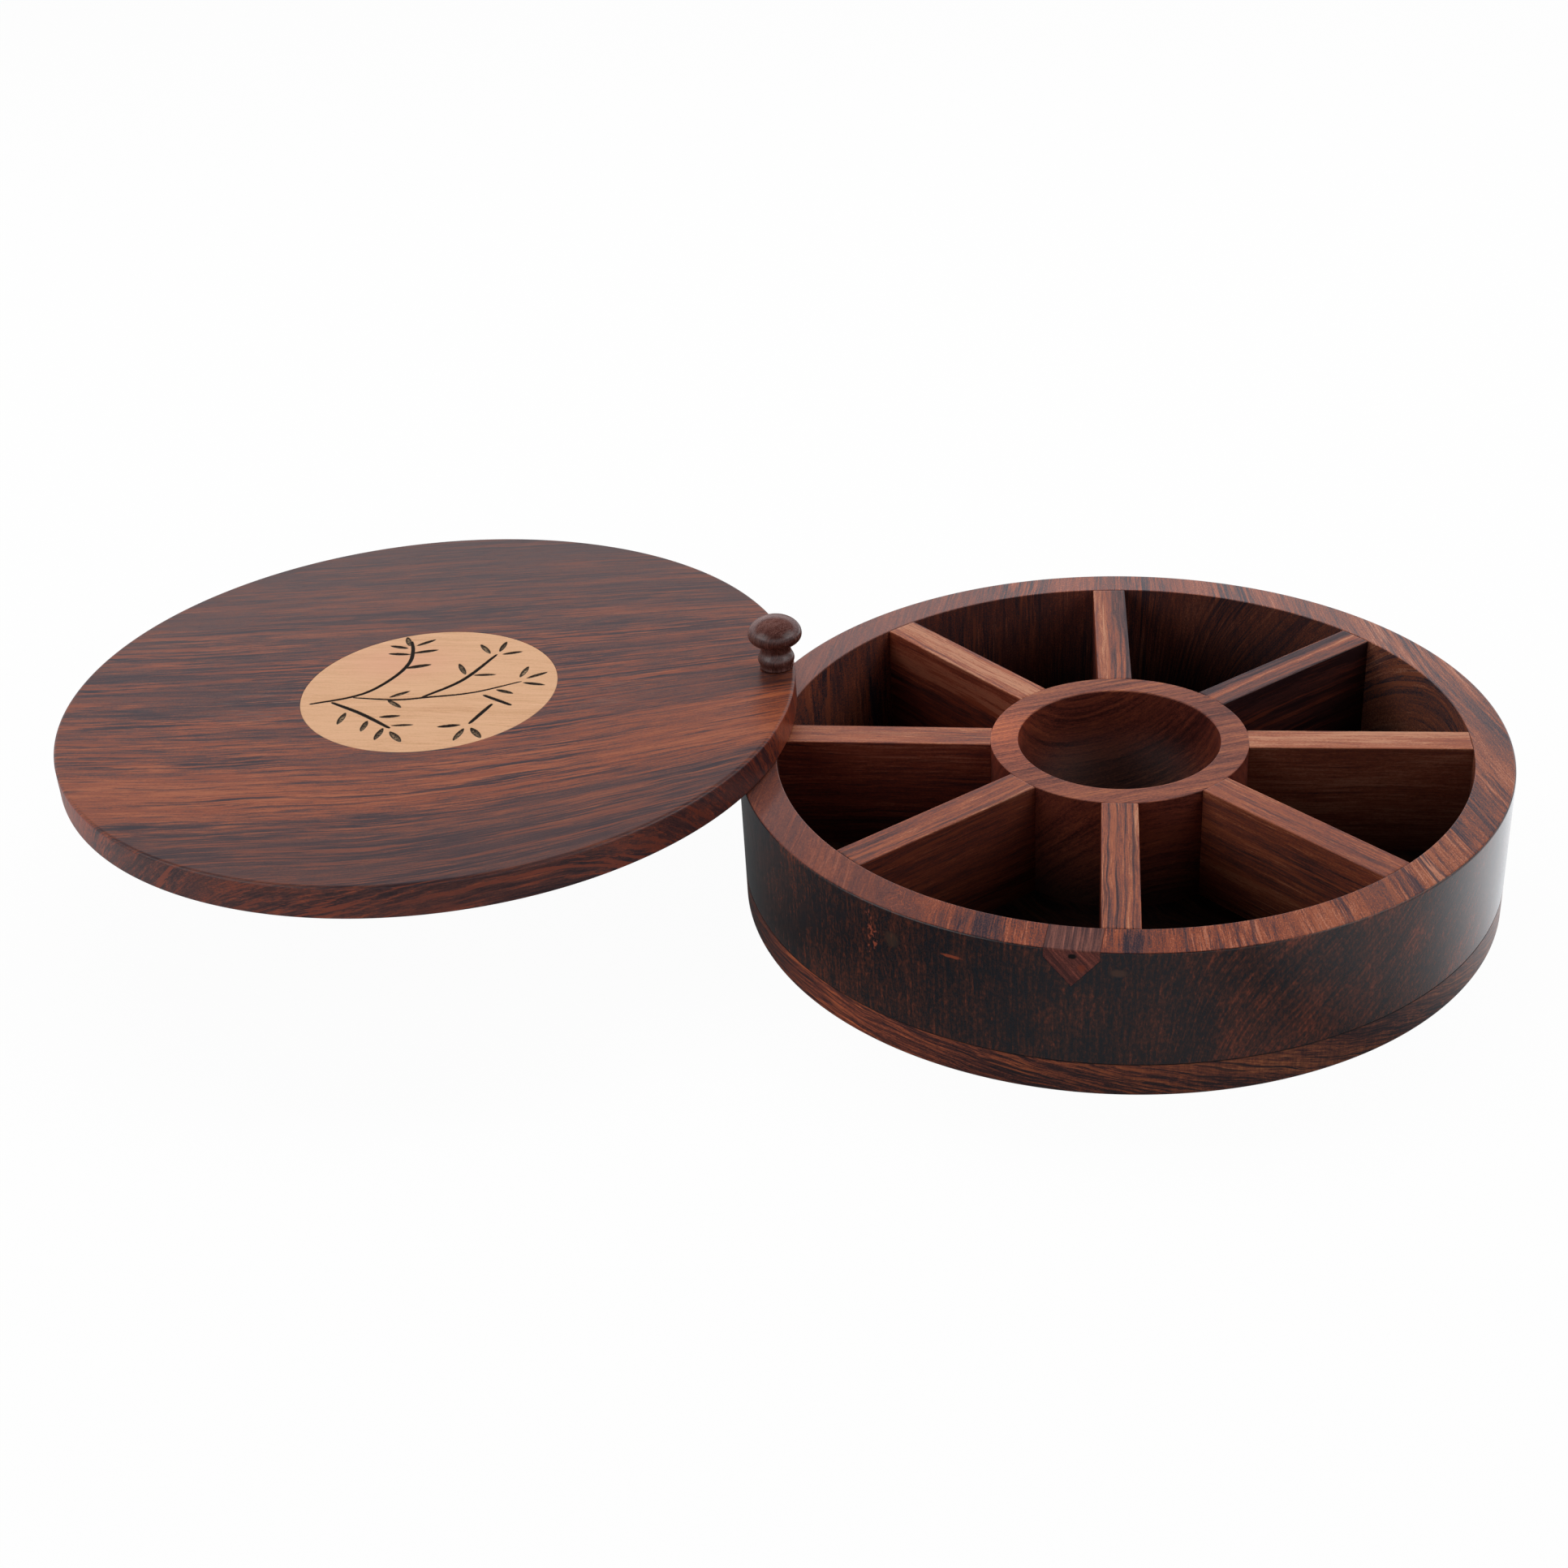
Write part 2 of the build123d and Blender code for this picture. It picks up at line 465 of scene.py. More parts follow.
def drawn_lines(n, f, grain, calm, fibres, colour, flame_colour, ink_colour, seed):
    """Thin orange lines where one more long noise is high, and black ones where it is low."""
    lines = n.plus(n.noise(grain, f["lines"], 3, 0.6, 0.1, seed + 5), n.centred(fibres, 0.12))
    above, below, edge = f["flame_above"], f["ink_below"], f["line_edge"]
    flame = n.remap(lines, above, above + edge, 0, f["flame_share"], True)
    colour = n.mix(n.times(calm, flame), colour, flame_colour)
    ink = n.remap(lines, below - edge, below, f["ink_share"], 0, True)
    return n.mix(n.times(calm, ink), colour, ink_colour)


def end_grain(n, f, place, facing, turn, colour, ink_colour, seed):
    """Darker and stroked where a face lies across the fibres."""
    fibre = Matrix.Rotation(turn[2], 3, "Z") @ Matrix.Rotation(turn[1], 3, "Y") @ Vector((1, 0, 0))
    inputs = {0: facing, 1: tuple(fibre)}
    ends = n.add("ShaderNodeVectorMath", inputs, output="Value", operation="DOT_PRODUCT")
    end = n.remap(n.math("ABSOLUTE", ends), 0.45, 1.0, 0, f["end_share"], True)
    strokes = n.noise(place, f["strokes"], 2, 0.6, 0.2, seed + 8)
    return n.mix(n.times(end, n.remap(strokes, 0.35, 0.65, 1.4, 0.5)), colour, ink_colour)


def wood(
    name, wood_tones, seed, origin=(0, 0, 0), turn=(0, 0, 0), bend=None, shift=None, marks=None, **figure
):
    """A planed and waxed board of rosewood.

    The ring coordinate v is the distance across the board plus a share of the depth, waved by
    noise, or what bend says. The tone of the figure, moved by shift, picks a colour between the
    wood's tones. Lines, pores, a tint on upright faces and strokes across the fibres come over it,
    and marks adds what this one board has.
    """
    f = {**FIGURE, **figure}
    ink_colour, flame_colour = wood_tones[0][1], wood_tones[3][1]
    material = bpy.data.materials.new(name)
    material.use_nodes = True
    n = Nodes(material.node_tree)
    place = board(n, origin, turn)
    along, across, into = n.split(place)
    if bend:
        base = bend(n, place, along, across, into)
    else:
        base = n.plus(n.times(across, f["spread"]), n.times(into, f["tilt"]))
    wobble = n.noise(place, f["wave"], 2, 0.5, 0, seed)
    v = n.plus(base, n.centred(wobble, f["wave_height"]))
    grain = n.join(along, v, into)
    tone, calm, streaks, fibres = grain_tone(n, f, place, grain, seed)
    if shift:
        tone = n.plus(tone, shift(n, along, v))
    colour = n.ramp(tone, wood_tones)
    colour = drawn_lines(n, f, grain, calm, fibres, colour, flame_colour, ink_colour, seed)
    pore = n.remap(n.noise(grain, f["pores"], 1, 0.5, 0, seed + 7), 0.6, 0.72, 0, f["pore_share"], True)
    colour = n.mix(pore, colour, ink_colour)
    facing = n.add("ShaderNodeTexCoord", output="Normal")
    _, _, up = n.split(facing)
    # Upright faces get the side tint, which is partly painted light and shade
    side = n.remap(n.math("ABSOLUTE", up), 0.25, 0.9, 1, 0, True)
    colour = n.mix(side, colour, f["side_tint"], "MULTIPLY")
    if f["end_share"]:
        colour = end_grain(n, f, place, facing, turn, colour, ink_colour, seed)
    rough = n.remap(n.plus(fibres, pore), 0.3, 1.1, f["gloss"] - 0.04, f["gloss"] + 0.12)
    if marks:
        colour, matte = marks(n, place, grain, colour)
        rough = n.plus(rough, n.times(matte, 0.45))
    relief = n.plus(n.times(pore, -1.0), n.times(fibres, 0.5), n.times(streaks, 0.3))
    normal = n.add("ShaderNodeBump", {"Strength": f["relief"], "Distance": 0.1 * MM, "Height": relief})
    finish(n, colour, rough, normal, f["specular"])
    return material


def finish(n, colour, rough, normal, specular):
    """The waxed surface that every wood ends in."""
    inputs = {
        "Base Color": colour,
        "Roughness": rough,
        "Normal": normal,
        "Specular IOR Level": specular,
    }
    surface = n.add("ShaderNodeBsdfPrincipled", inputs)
    n.add("ShaderNodeOutputMaterial", {"Surface": surface})


def stops(*colours):
    """Colour stops from screen colours, given as (place, red, green, blue)."""
    return [(place, linear(*rgb)) for place, *rgb in colours]


# Sizes and colours that a user would change

# A wood's five tones, and where they stand between its darkest place, 0, and its lightest, 1
TONES = ("ink", "shade", "body", "flame", "light")
TONE_PLACES = (0.12, 0.34, 0.5, 0.66, 0.86)


def length(title, about, millimetres):
    """A length property, given in millimetres."""
    return FloatProperty(
        name=title, description=about, default=millimetres * MM, min=0, unit="LENGTH", subtype="DISTANCE"
    )


def share(title, about):
    """A factor property, 1 as drawn."""
    return FloatProperty(name=title, description=about, default=1.0, min=0.2, max=2, subtype="FACTOR")


def power(title, about, watts):
    """A lamp's power."""
    return FloatProperty(name=title, description=about, default=watts, min=0, unit="POWER", subtype="POWER")


def colour_of(title, about, *rgb):
    """A colour property, given as a screen colour."""
    return FloatVectorProperty(
        name=title, description=about, default=linear(*rgb), size=3, min=0, max=1, subtype="COLOR"
    )


class SpiceBoxSizes(bpy.types.PropertyGroup):
    """Edges, carving and turned profiles of the pieces"""

    base_edge: length("Base edge", "Round of the base board's lower edge", 1.0)
    rim_edge: length("Rim edge", "Round of the outer edge of the wall and of its key", 0.7)
    divider_edge: length("Divider edge", "Round of the dividers' top edges", 0.4)
    cup_edge: length("Cup edge", "Round of the edge of the cup's hollow", 0.5)
    bowl_round: length("Bowl", "Radius between the side and the floor of the cup's hollow", 24.0)
    lid_edge: length("Lid edge", "Round of both edges of the lid", 1.1)
    carving_depth: length("Carving depth", "Depth of the widest cuts in the inlay", 0.45)
    leaf_width: share("Leaf width", "Width of the carved leaves, as a share of the drawn one")
    stem_width: share("Stem width", "Width of the carved stems, as a share of the drawn one")
    knob_foot: length("Knob foot", "Radius of the knob's foot", 5.9)
    knob_groove: length("Knob groove", "Radius of the narrow place above the foot", 5.8)
    knob_bead: length("Knob bead", "Radius of the bead above the groove", 6.4)
    knob_neck: length("Knob neck", "Radius of the neck under the head", 5.25)
    front_power: power("Front softboxes", "Power of each of the two front softboxes", 4.5)
    back_power: power("Back softbox", "Power of the softbox above the back", 32.0)


def tone_group(title, *colours):
    """Makes the PropertyGroup that holds the five tones of a wood."""
    fields = {
        tone: colour_of(tone.capitalize(), f"The {tone} tone of the {title}'s wood", *rgb)
        for tone, rgb in zip(TONES, colours)
    }
    about = f"The five tones of the {title}'s wood, from the darkest to the lightest"
    name = title.title().replace(" ", "") + "Tones"
    return type(name, (bpy.types.PropertyGroup,), {"__annotations__": fields, "__doc__": about})


BaseTones = tone_group("base board", (34, 26, 32), (80, 44, 40), (134, 72, 54), (170, 94, 60), (200, 120, 76))
WallTones = tone_group("wall", (58, 48, 56), (100, 66, 62), (131, 72, 58), (158, 86, 62), (182, 114, 90))
KeyTones = tone_group("key", (70, 44, 44), (100, 62, 56), (122, 76, 66), (140, 86, 74), (158, 104, 90))
DividerTones = tone_group(
    "divider", (58, 40, 44), (98, 66, 62), (134, 76, 62), (164, 94, 66), (192, 134, 104)
)
CupTones = tone_group("cup", (72, 42, 40), (110, 62, 52), (140, 80, 64), (162, 96, 68), (186, 116, 80))
LidTones = tone_group("lid", (36, 27, 38), (72, 45, 46), (98, 60, 52), (138, 70, 46), (164, 92, 60))
InlayTones = tone_group(
    "inlay", (196, 140, 100), (214, 162, 120), (224, 174, 133), (228, 178, 138), (234, 190, 152)
)
KnobTones = tone_group("knob", (58, 28, 26), (84, 48, 43), (102, 64, 58), (118, 78, 71), (138, 96, 86))


class SpiceBoxColours(bpy.types.PropertyGroup):
    """The tones of every wood, and the pin's steel"""

    base: PointerProperty(type=BaseTones, name="Base board", description="Wood of the base board")
    wall: PointerProperty(type=WallTones, name="Wall", description="Wood of the wall's rim and inner face")
    key: PointerProperty(type=KeyTones, name="Key", description="Wood of the key in the rim")
    divider: PointerProperty(type=DividerTones, name="Dividers", description="Wood of the dividers")
    cup: PointerProperty(type=CupTones, name="Cup", description="Wood of the cup in the middle")
    lid: PointerProperty(type=LidTones, name="Lid", description="Wood of the lid")
    inlay: PointerProperty(type=InlayTones, name="Inlay", description="Pale wood of the inlay")
    knob: PointerProperty(type=KnobTones, name="Knob", description="Wood of the knob")
    carving: colour_of("Carving", "Burnt wood in the inlay's cuts", 32, 24, 20)
    leaf: colour_of("Leaf", "Paler inside of some carved leaves", 184, 154, 122)
    steel_dark: colour_of("Steel, dark", "Darker draw marks of the pin", 120, 118, 114)
    steel_light: colour_of("Steel, light", "Lighter draw marks of the pin", 176, 174, 170)


GROUPS = (
    SpiceBoxSizes,
    BaseTones,
    WallTones,
    KeyTones,
    DividerTones,
    CupTones,
    LidTones,
    InlayTones,
    KnobTones,
    SpiceBoxColours,
)


def tones(context, wood_name):
    """The colour stops of a wood, from its property group."""
    group = getattr(context.scene.spice_box_colours, wood_name)
    return [(place, tuple(getattr(group, tone))) for place, tone in zip(TONE_PLACES, TONES)]


# Pieces

# The way the base board's grain runs, as a bearing
BASE_TURN = radians(312)


def dim(n, colour, share_of_dark, dark=(0.06, 0.12, 0.15)):
    """A colour darkened by a share of the way to a dark multiple of itself."""
    return n.mix(share_of_dark, colour, dark, "MULTIPLY")


def base_light_and_shade(n, place, grain, colour):
    """Lighter wood at the left, darker at the right, and a dark top that was never rubbed down,
    which is the floor of the compartments."""
    along, across, up = n.split(place)
    x = n.plus(n.times(along, cos(BASE_TURN)), n.times(across, -sin(BASE_TURN)))
    # Painted light: the left of the board is made lighter, as if lit from the left
    colour = n.mix(n.remap(x, -30, -115), colour, (1.7, 1.6, 1.55), "MULTIPLY")
    colour = n.mix(n.remap(x, 0, 80), colour, (0.74, 0.88, 1.0), "MULTIPLY")
    # Painted shade: the top, which is the floor of the compartments, is darkened nearly to black
    top = n.remap(up, WALL_FOOT / MM - 0.4, WALL_FOOT / MM - 0.1)
    return dim(n, colour, top, (0.08, 0.09, 0.11)), n.times(top, 0.8)


class BuildBase(bpy.types.Operator):
    """Turns the base board"""

    bl_idname = "spice_box.base"
    bl_label = "Base board"

    def execute(self, context):
        low, high = heights("base_disc")
        edge = context.scene.spice_box_sizes.base_edge
        outline = rounded([(0, low), (BOX_RADIUS, low), (BOX_RADIUS, high), (0, high)], [edge, SANDED])
        grain = wood(
            "base_wood",
            tones(context, "base"),
            turn=(0, 0, BASE_TURN),
            seed=3,
            marks=base_light_and_shade,
            spread=0.3,
            tilt=1.1,
            wave=(22, 30, 9),
            wave_height=4.5,
            rings=(50, 1.3, 40),
            ring_gain=1.2,
            streaks=(14, 0.6, 1.6),
            streak_gain=1.2,
            lines=(24, 1.1, 30),
            ink_below=0.44,
            ink_share=0.7,
            side_tint=(1.3, 1.2, 1.15),
            end_share=0.4,
            specular=0.25,
        )
        shape = turned(outline, (0, 0), 384)
        piece("base_board", shape, grain, "box", "base_disc")
        return {"FINISHED"}


def key_outline():
    """Half the key's width, and the levels of its shoulders and of its point.

    A vertex's place across the key is y cos(bearing) - x sin(bearing).
    """
    points = cad_points("wall_key")
    half = KEY_WIDTH / 2
    offset = points[:, 1] * cos(KEY_BEARING) - points[:, 0] * sin(KEY_BEARING)
    shoulder = points[abs(offset) > half - TINY, 2].min()
    return half, shoulder, points[:, 2].min()


def notch():
    """The pointed prism that the key's notch takes out of the wall, along the key's bearing."""
    half, shoulder, point = key_outline()
    above = RIM + 5 * MM
    u = np.array((-1, 0, 1, 1, -1)) * (half + GLUE)
    z = np.array((shoulder, point, shoulder, above, above)) - GLUE
    # The prism sticks out of both faces of the wall
    r = np.array((WALL_INSIDE - 8 * MM, BOX_RADIUS + 8 * MM))[:, None]
    x = r * cos(KEY_BEARING) - u * sin(KEY_BEARING)
    y = r * sin(KEY_BEARING) + u * cos(KEY_BEARING)
    return swept(np.stack((x, y, np.broadcast_to(z, x.shape)), axis=-1))


def bearing_place(bearing, radius, height):
    """A point of the wall, in the wall's own board coordinates: along +Y, across, up, in mm."""
    bearing = radians(bearing)
    return (radius * sin(bearing), -radius * cos(bearing), height)


def wall_rings(n, place, along, across, into):
    """The wall's ring coordinate: x, leaning with y on the rim and with depth on the right.

    v = x + lean(x) y - slope(x) (z - rim), with a swirl of noise about a burl at the front left.
    The board lies along +Y, so x is minus the distance across it.
    """
    x = n.times(across, -1.0)
    lean = n.remap(x, -30, 110, -0.08, 0.3)
    slope = n.remap(x, 0, 50, 0, 0.75, True)
    depth = n.math("SUBTRACT", into, RIM / MM)
    burl = n.spot(place, bearing_place(238, 121, RIM / MM), (8, 8, 24), 0.9, 0.2, 31)
    swirl = n.times(burl, n.centred(n.noise(place, (5, 5, 9), 2, 0.5, 0.2, 32), 15))
    return n.plus(x, n.times(lean, along), n.times(slope, depth, -1.0), swirl)


def wall_shift(n, along, v):
    """A duller, purplish stretch of the rim just left of the key, and a dark patch right of it."""
    place = n.join(along, v, 0.0)
    dull = n.spot(place, (-116, -38, 0), (9, 17, 40), 0.8, 0.6, 24)
    dark = n.spot(place, (-121, 3, 0), (7, 2.5, 40), 0.6, 0.5, 25)
    return n.plus(n.times(dull, -0.16), n.times(dark, -0.3))


def wall_face(n, place, grain):
    """The wall's outer face: near-black wood with fine rusty lines along the rings, and specks."""
    _, across, _ = n.split(place)
    lines = n.noise(grain, (40, 1.0, 13), 3, 0.7, 0.1, 26)
    specks = n.noise(place, (1.0, 1.0, 1.7), 3, 0.75, 0.2, 27)
    zones = n.noise(place, (40, 16, 22), 2, 0.5, 0, 28)
    sides = n.profile(across, ((-127, 0.14), (-45, 0.17), (-10, 0.04), (45, 0.02), (90, 0.12), (127, 0.1)))
    tone = n.plus(0.48, n.centred(lines, 1.1), n.centred(specks, 1.3), n.centred(zones, 0.7), sides)
    face = stops(
        (0.2, 22, 26, 36),
        (0.42, 34, 27, 32),
        (0.58, 58, 34, 31),
        (0.75, 84, 44, 34),
        (1.0, 136, 64, 42),
    )
    return n.ramp(tone, face)


def wall_blemishes(n, place, colour):
    """The outer face's blemishes: orange flecks up a crack, a short orange scar, two tan patches and
    a rusty glow on the right. Gives the colour and where the crack is."""

    def on_face(bearing, level, size, edge, ragged, seed):
        return n.spot(place, bearing_place(bearing, BOX_RADIUS / MM, level), size, edge, ragged, seed)

    flecks = n.remap(n.noise(place, (1.7, 1.7, 2.6), 3, 0.6, 0.5, 34), 0.56, 0.6)
    crack = n.times(on_face(234.8, 40, (5, 2.0, 9), 0.4, 0.7, 33), flecks)
    scar = on_face(247.5, 41.8, (4, 3.0, 0.55), 0.3, 0.5, 35)
    oval = on_face(270.1, 44.1, (4, 2.4, 1.2), 0.4, 0.3, 36)
    patch = on_face(238.2, 41, (4, 2.2, 2.6), 0.4, 0.5, 37)
    shreds = n.remap(n.noise(place, (5, 2.2, 1.6), 3, 0.6, 0.5, 39), 0.52, 0.64)
    glow = n.times(on_face(302, 24, (12, 17, 8), 0.8, 0.5, 38), shreds)
    layers = (
        (crack, 0.9, (172, 76, 44)),
        (scar, 0.9, (164, 74, 44)),
        (oval, 0.6, (96, 62, 46)),
        (patch, 0.5, (84, 62, 48)),
        (glow, 0.6, (112, 50, 34)),
    )
    for where, cover, rgb in layers:
        colour = n.mix(n.times(where, cover), colour, linear(*rgb))
    return colour, crack


def wall_marks(n, place, grain, colour):
    """The depth shade of the inner face, curly grain on the left of the rim, a greyer right half,
    and the outer face's own colours and blemishes."""
    along, across, up = n.split(place)
    inside, outside, rim = WALL_INSIDE / MM, BOX_RADIUS / MM, RIM / MM
    far = n.math("SQRT", n.plus(n.times(along, along), n.times(across, across)))
    inner = n.remap(far, inside + 0.1, inside + 0.5, 1, 0)
    # Painted shade: the inner face darkens towards its foot, deep in the compartments
    colour = dim(n, colour, n.times(inner, n.remap(up, rim - 1, WALL_FOOT / MM, 0, 0.8)))
    curly = n.times(n.remap(across, 45, 80, 0, 0.6), n.remap(up, rim - 1, rim - 0.4))
    curls = n.noise(place, (2.4, 1.3, 3), 4, 0.7, 1.5, 43)
    curled = stops((0.3, 80, 60, 66), (0.45, 116, 74, 66), (0.58, 134, 82, 70), (0.75, 158, 96, 72))
    colour = n.mix(curly, colour, n.ramp(curls, curled))
    colour = n.mix(n.remap(across, -20, -90), colour, (1.06, 1.25, 1.28), "MULTIPLY")
    colour = n.mix(n.remap(far, outside - 0.5, outside - 0.2), colour, wall_face(n, place, grain))
    return wall_blemishes(n, place, colour)


class BuildWall(bpy.types.Operator):
    """Cuts the wall's ring from one block, with the notch for the key and the hole for the pin"""

    bl_idname = "spice_box.wall"
    bl_label = "Wall"

    def execute(self, context):
        grain = wood(
            "wall_wood",
            tones(context, "wall"),
            turn=(0, 0, radians(90)),
            seed=5,
            bend=wall_rings,
            shift=wall_shift,
            marks=wall_marks,
            rings=(60, 2.0, 70),
            ring_gain=1.0,
            streaks=(20, 0.8, 14),
            streak_gain=1.0,
            fibre_gain=0.6,
            wave=(60, 30, 60),
            wave_height=4.0,
            calm_gain=0.6,
            ink_share=0.5,
            lines=(40, 1.5, 34),
            side_tint=(1.15, 1.15, 1.15),
            grit_gain=1.0,
            end_share=0.4,
            gloss=0.15,
            specular=0.4,
        )
        middle = (WALL_INSIDE + BOX_RADIUS) / 2
        corners = [
            (middle, WALL_FOOT),
            (BOX_RADIUS, WALL_FOOT),
            (BOX_RADIUS, RIM),
            (WALL_INSIDE, RIM),
            (WALL_INSIDE, WALL_FOOT),
            (middle, WALL_FOOT),
        ]
        edge = context.scene.spice_box_sizes.rim_edge
        section = rounded(corners, [SANDED, edge, SANDED, 0.1 * MM])
        ring = piece("wall", turned(section, (0, 0), 384), grain, "box", "wall_ring")
        pin_foot, _ = heights("pivot_pin")
        cut(ring, notch())
        cut(ring, drill(half_width("pivot_pin") + GLUE, PIVOT[:2], pin_foot, RIM + 1 * MM))
        return {"FINISHED"}


def key_marks(n, place, grain, colour):
    """A small dark hole near the rim and an orange patch low on the right, on the key's outer face."""
    face = BOX_RADIUS / MM
    # Painted shade: the hole is only painted near-black
    hole = n.spot(place, (face, 0.2, 49.1), (5, 1.2, 0.8), 0.3, 0.4, 41)
    patch = n.spot(place, (face, 3.0, 45.2), (5, 1.1, 1.3), 0.4, 0.4, 42)
    colour = n.mix(n.times(patch, 0.8), colour, linear(140, 62, 40))
    return n.mix(hole, colour, linear(18, 14, 14)), hole


class BuildKey(bpy.types.Operator):
    """Shapes the pointed key that is let into the front of the rim"""

    bl_idname = "spice_box.key"
    bl_label = "Key in the rim"

    def execute(self, context):
        half, shoulder, point = key_outline()
        # The cross-section is drawn with its foot just below the rim, and is then stretched down
        foot = RIM - 2 * MM
        middle = WALL_INSIDE + 1 * MM
        corners = [
            (middle, foot),
            (BOX_RADIUS, foot),
            (BOX_RADIUS, RIM),
            (WALL_INSIDE, RIM),
            (WALL_INSIDE, foot),
            (middle, foot),
        ]
        edge = context.scene.spice_box_sizes.rim_edge
        section = rounded(corners, [0.05 * MM, edge, SANDED, 0.05 * MM])[:-1]
        r, z = section[None, :, 0], section[None, :, 1]
        ends = half - np.array((0, 0.05, 0.12, 0.25, 0.6)) * MM
        u = np.concatenate((ends, np.linspace(half, -half, 13)[1:-1], -ends[::-1]))[:, None]
        # Points near the foot follow the key's pointed outline, and the top's ends are eased
        bottom = point + (shoulder - point) * abs(u) / half
        level = np.where(z < RIM - 1.2 * MM, bottom + z - foot, z)
        level = level - np.where(z > RIM - 1 * MM, eased(half - abs(u), SANDED), 0)
        out = np.sqrt(r**2 - u**2)
        x = out * cos(KEY_BEARING) - u * sin(KEY_BEARING)
        y = out * sin(KEY_BEARING) + u * cos(KEY_BEARING)
        grain = wood(
            "key_wood",
            tones(context, "key"),
            turn=(0, 0, KEY_BEARING),
            seed=7,
            marks=key_marks,
            rings=(60, 1.2, 60),
            streak_gain=1.0,
            flame_share=0.3,
            ink_share=0.35,
            side_tint=(1.25, 0.85, 0.8),
            end_share=0.0,
            specular=0.2,
        )
        stations = np.stack((x, y, level), axis=-1)
        piece("key", swept(stations), grain, "box", "wall_key")
        return {"FINISHED"}


DIVIDER_FIGURE = {
    "wave": (36, 14, 24),
    "wave_height": 3.0,
    "rings": (110, 2.6, 60),
    "ring_gain": 1.3,
    "streaks": (28, 0.8, 3.0),
    "streak_gain": 0.9,
    "fibre_gain": 0.6,
    "lines": (60, 2.2, 40),
    "side_tint": (0.95, 0.66, 0.62),
    "end_share": 0.0,
    "zone_gain": 0.4,
    "specular": 0.28,
}
# Tone bands across a divider's top edge, as places in millimetres and how far the tone moves there
FRONT_LINES = (
    (-6.5, -0.02),
    (-4.3, 0.06),
    (-3.9, -0.3),
    (-3.4, 0.03),
    (-1.9, 0.1),
    (-1.4, -0.34),
    (-0.9, 0.02),
    (0.9, 0.04),
    (1.3, -0.28),
    (1.8, 0.06),
    (3.4, 0.1),
    (3.9, -0.32),
    (4.4, 0.04),
    (6.5, 0.0),
)
DIVIDERS = {
    "back": {"ink_share": 0.25, "bands": ((-7, -0.3), (-1.5, -0.22), (0.5, 0.02), (7, 0.04))},
    "back_left": {
        "level": 0.64,
        "ink_share": 0.1,
        "flame_share": 0.8,
        "bands": ((-6, -0.1), (-3.5, 0), (6, 0)),
        "side_tint": (0.85, 0.58, 0.56),
    },
    "back_right": {
        "ink_share": 0.25,
        "bands": ((-6, -0.28), (-3, -0.12), (-1, 0.08), (2, 0.05), (3.5, -0.26), (6, -0.3)),
        "side_tint": (0.5, 0.38, 0.4),
    },
    "front": {"ink_share": 0.5, "flame_share": 0.8, "bands": FRONT_LINES},
    "front_left": {"level": 0.55, "ink_share": 0.15, "ring_gain": 0.8, "side_tint": (0.8, 0.66, 0.66)},
    "front_right": {
        "level": 0.54,
        "ink_share": 0.2,
        "ring_gain": 0.9,
        "wave_height": 1.5,
        "side_tint": (1.2, 1.1, 1.05),
    },
    "left": {
        "level": 0.55,
        "ink_share": 0.2,
        "ring_gain": 0.8,
        "flame_share": 0.3,
        "side_tint": (0.65, 0.45, 0.48),
    },
    "right": {
        "level": 0.68,
        "ink_share": 0.25,
        "ink_below": 0.4,
        "ring_gain": 0.9,
        "wave_height": 1.5,
        "side_tint": (0.5, 0.45, 0.48),
    },
}


def board_depth_shade(n, place, grain, colour):
    """Ever darker with depth below the board's top edge, where its pattern starts."""
    _, _, up = n.split(place)
    # Painted shade: the sides darken with depth, as the compartments do
    return dim(n, colour, n.remap(up, -3, -38, 0, 0.75)), 0.0


class BuildDividers(bpy.types.Operator):
    """Saws the eight dividers, whose ends follow the cup and the wall: x = sqrt(R^2 - y^2)"""

    bl_idname = "spice_box.dividers"
    bl_label = "Dividers"

    def execute(self, context):
        edge = context.scene.spice_box_sizes.divider_edge
        names = sorted(name for name in frame["nodes"] if name.startswith("divider_"))
        for number, node in enumerate(names):
            bearing, thickness = middle_bearing(node)
            foot, top = heights(node)
            half = thickness / 2
            corners = [(0, foot), (half, foot), (half, top), (-half, top), (-half, foot), (0, foot)]
            section = rounded(corners, [0.1 * MM, edge, edge, 0.1 * MM])[:-1]
            y, z = section[None, :, 0], section[None, :, 1]
            d = np.array((0, 0.05, 0.15, 0.3, 1.0))[:, None] * MM
            start = np.sqrt((CUP_RADIUS + GLUE) ** 2 - y**2) + d
            stop = np.sqrt((WALL_INSIDE - GLUE) ** 2 - y**2) - d[::-1]
            x = np.concatenate((start, stop))
            drop = np.concatenate((eased(d, 0.3 * MM), eased(d[::-1], 0.3 * MM)))
            z = z - drop * (z - foot) / (top - foot)
            y = np.broadcast_to(y, x.shape)
            across_x = x * cos(bearing) - y * sin(bearing)
            across_y = x * sin(bearing) + y * cos(bearing)
            stations = np.stack((across_x, across_y, z), axis=-1)
            place = node.removeprefix("divider_")
            figure = {**DIVIDER_FIGURE, **DIVIDERS[place]}
            bands = figure.pop("bands", ((-7, 0), (7, 0)))
            grain = wood(
                place + "_divider_wood",
                tones(context, "divider"),
                origin=(0, 0, top),
                turn=(0, 0, bearing),
                seed=11 + number * 3,
                shift=lambda n, along, v, bands=bands: n.profile(v, bands),
                marks=board_depth_shade,
                **figure,
            )
            piece(node.replace("divider", "board"), swept(stations), grain, "box", node)
        return {"FINISHED"}


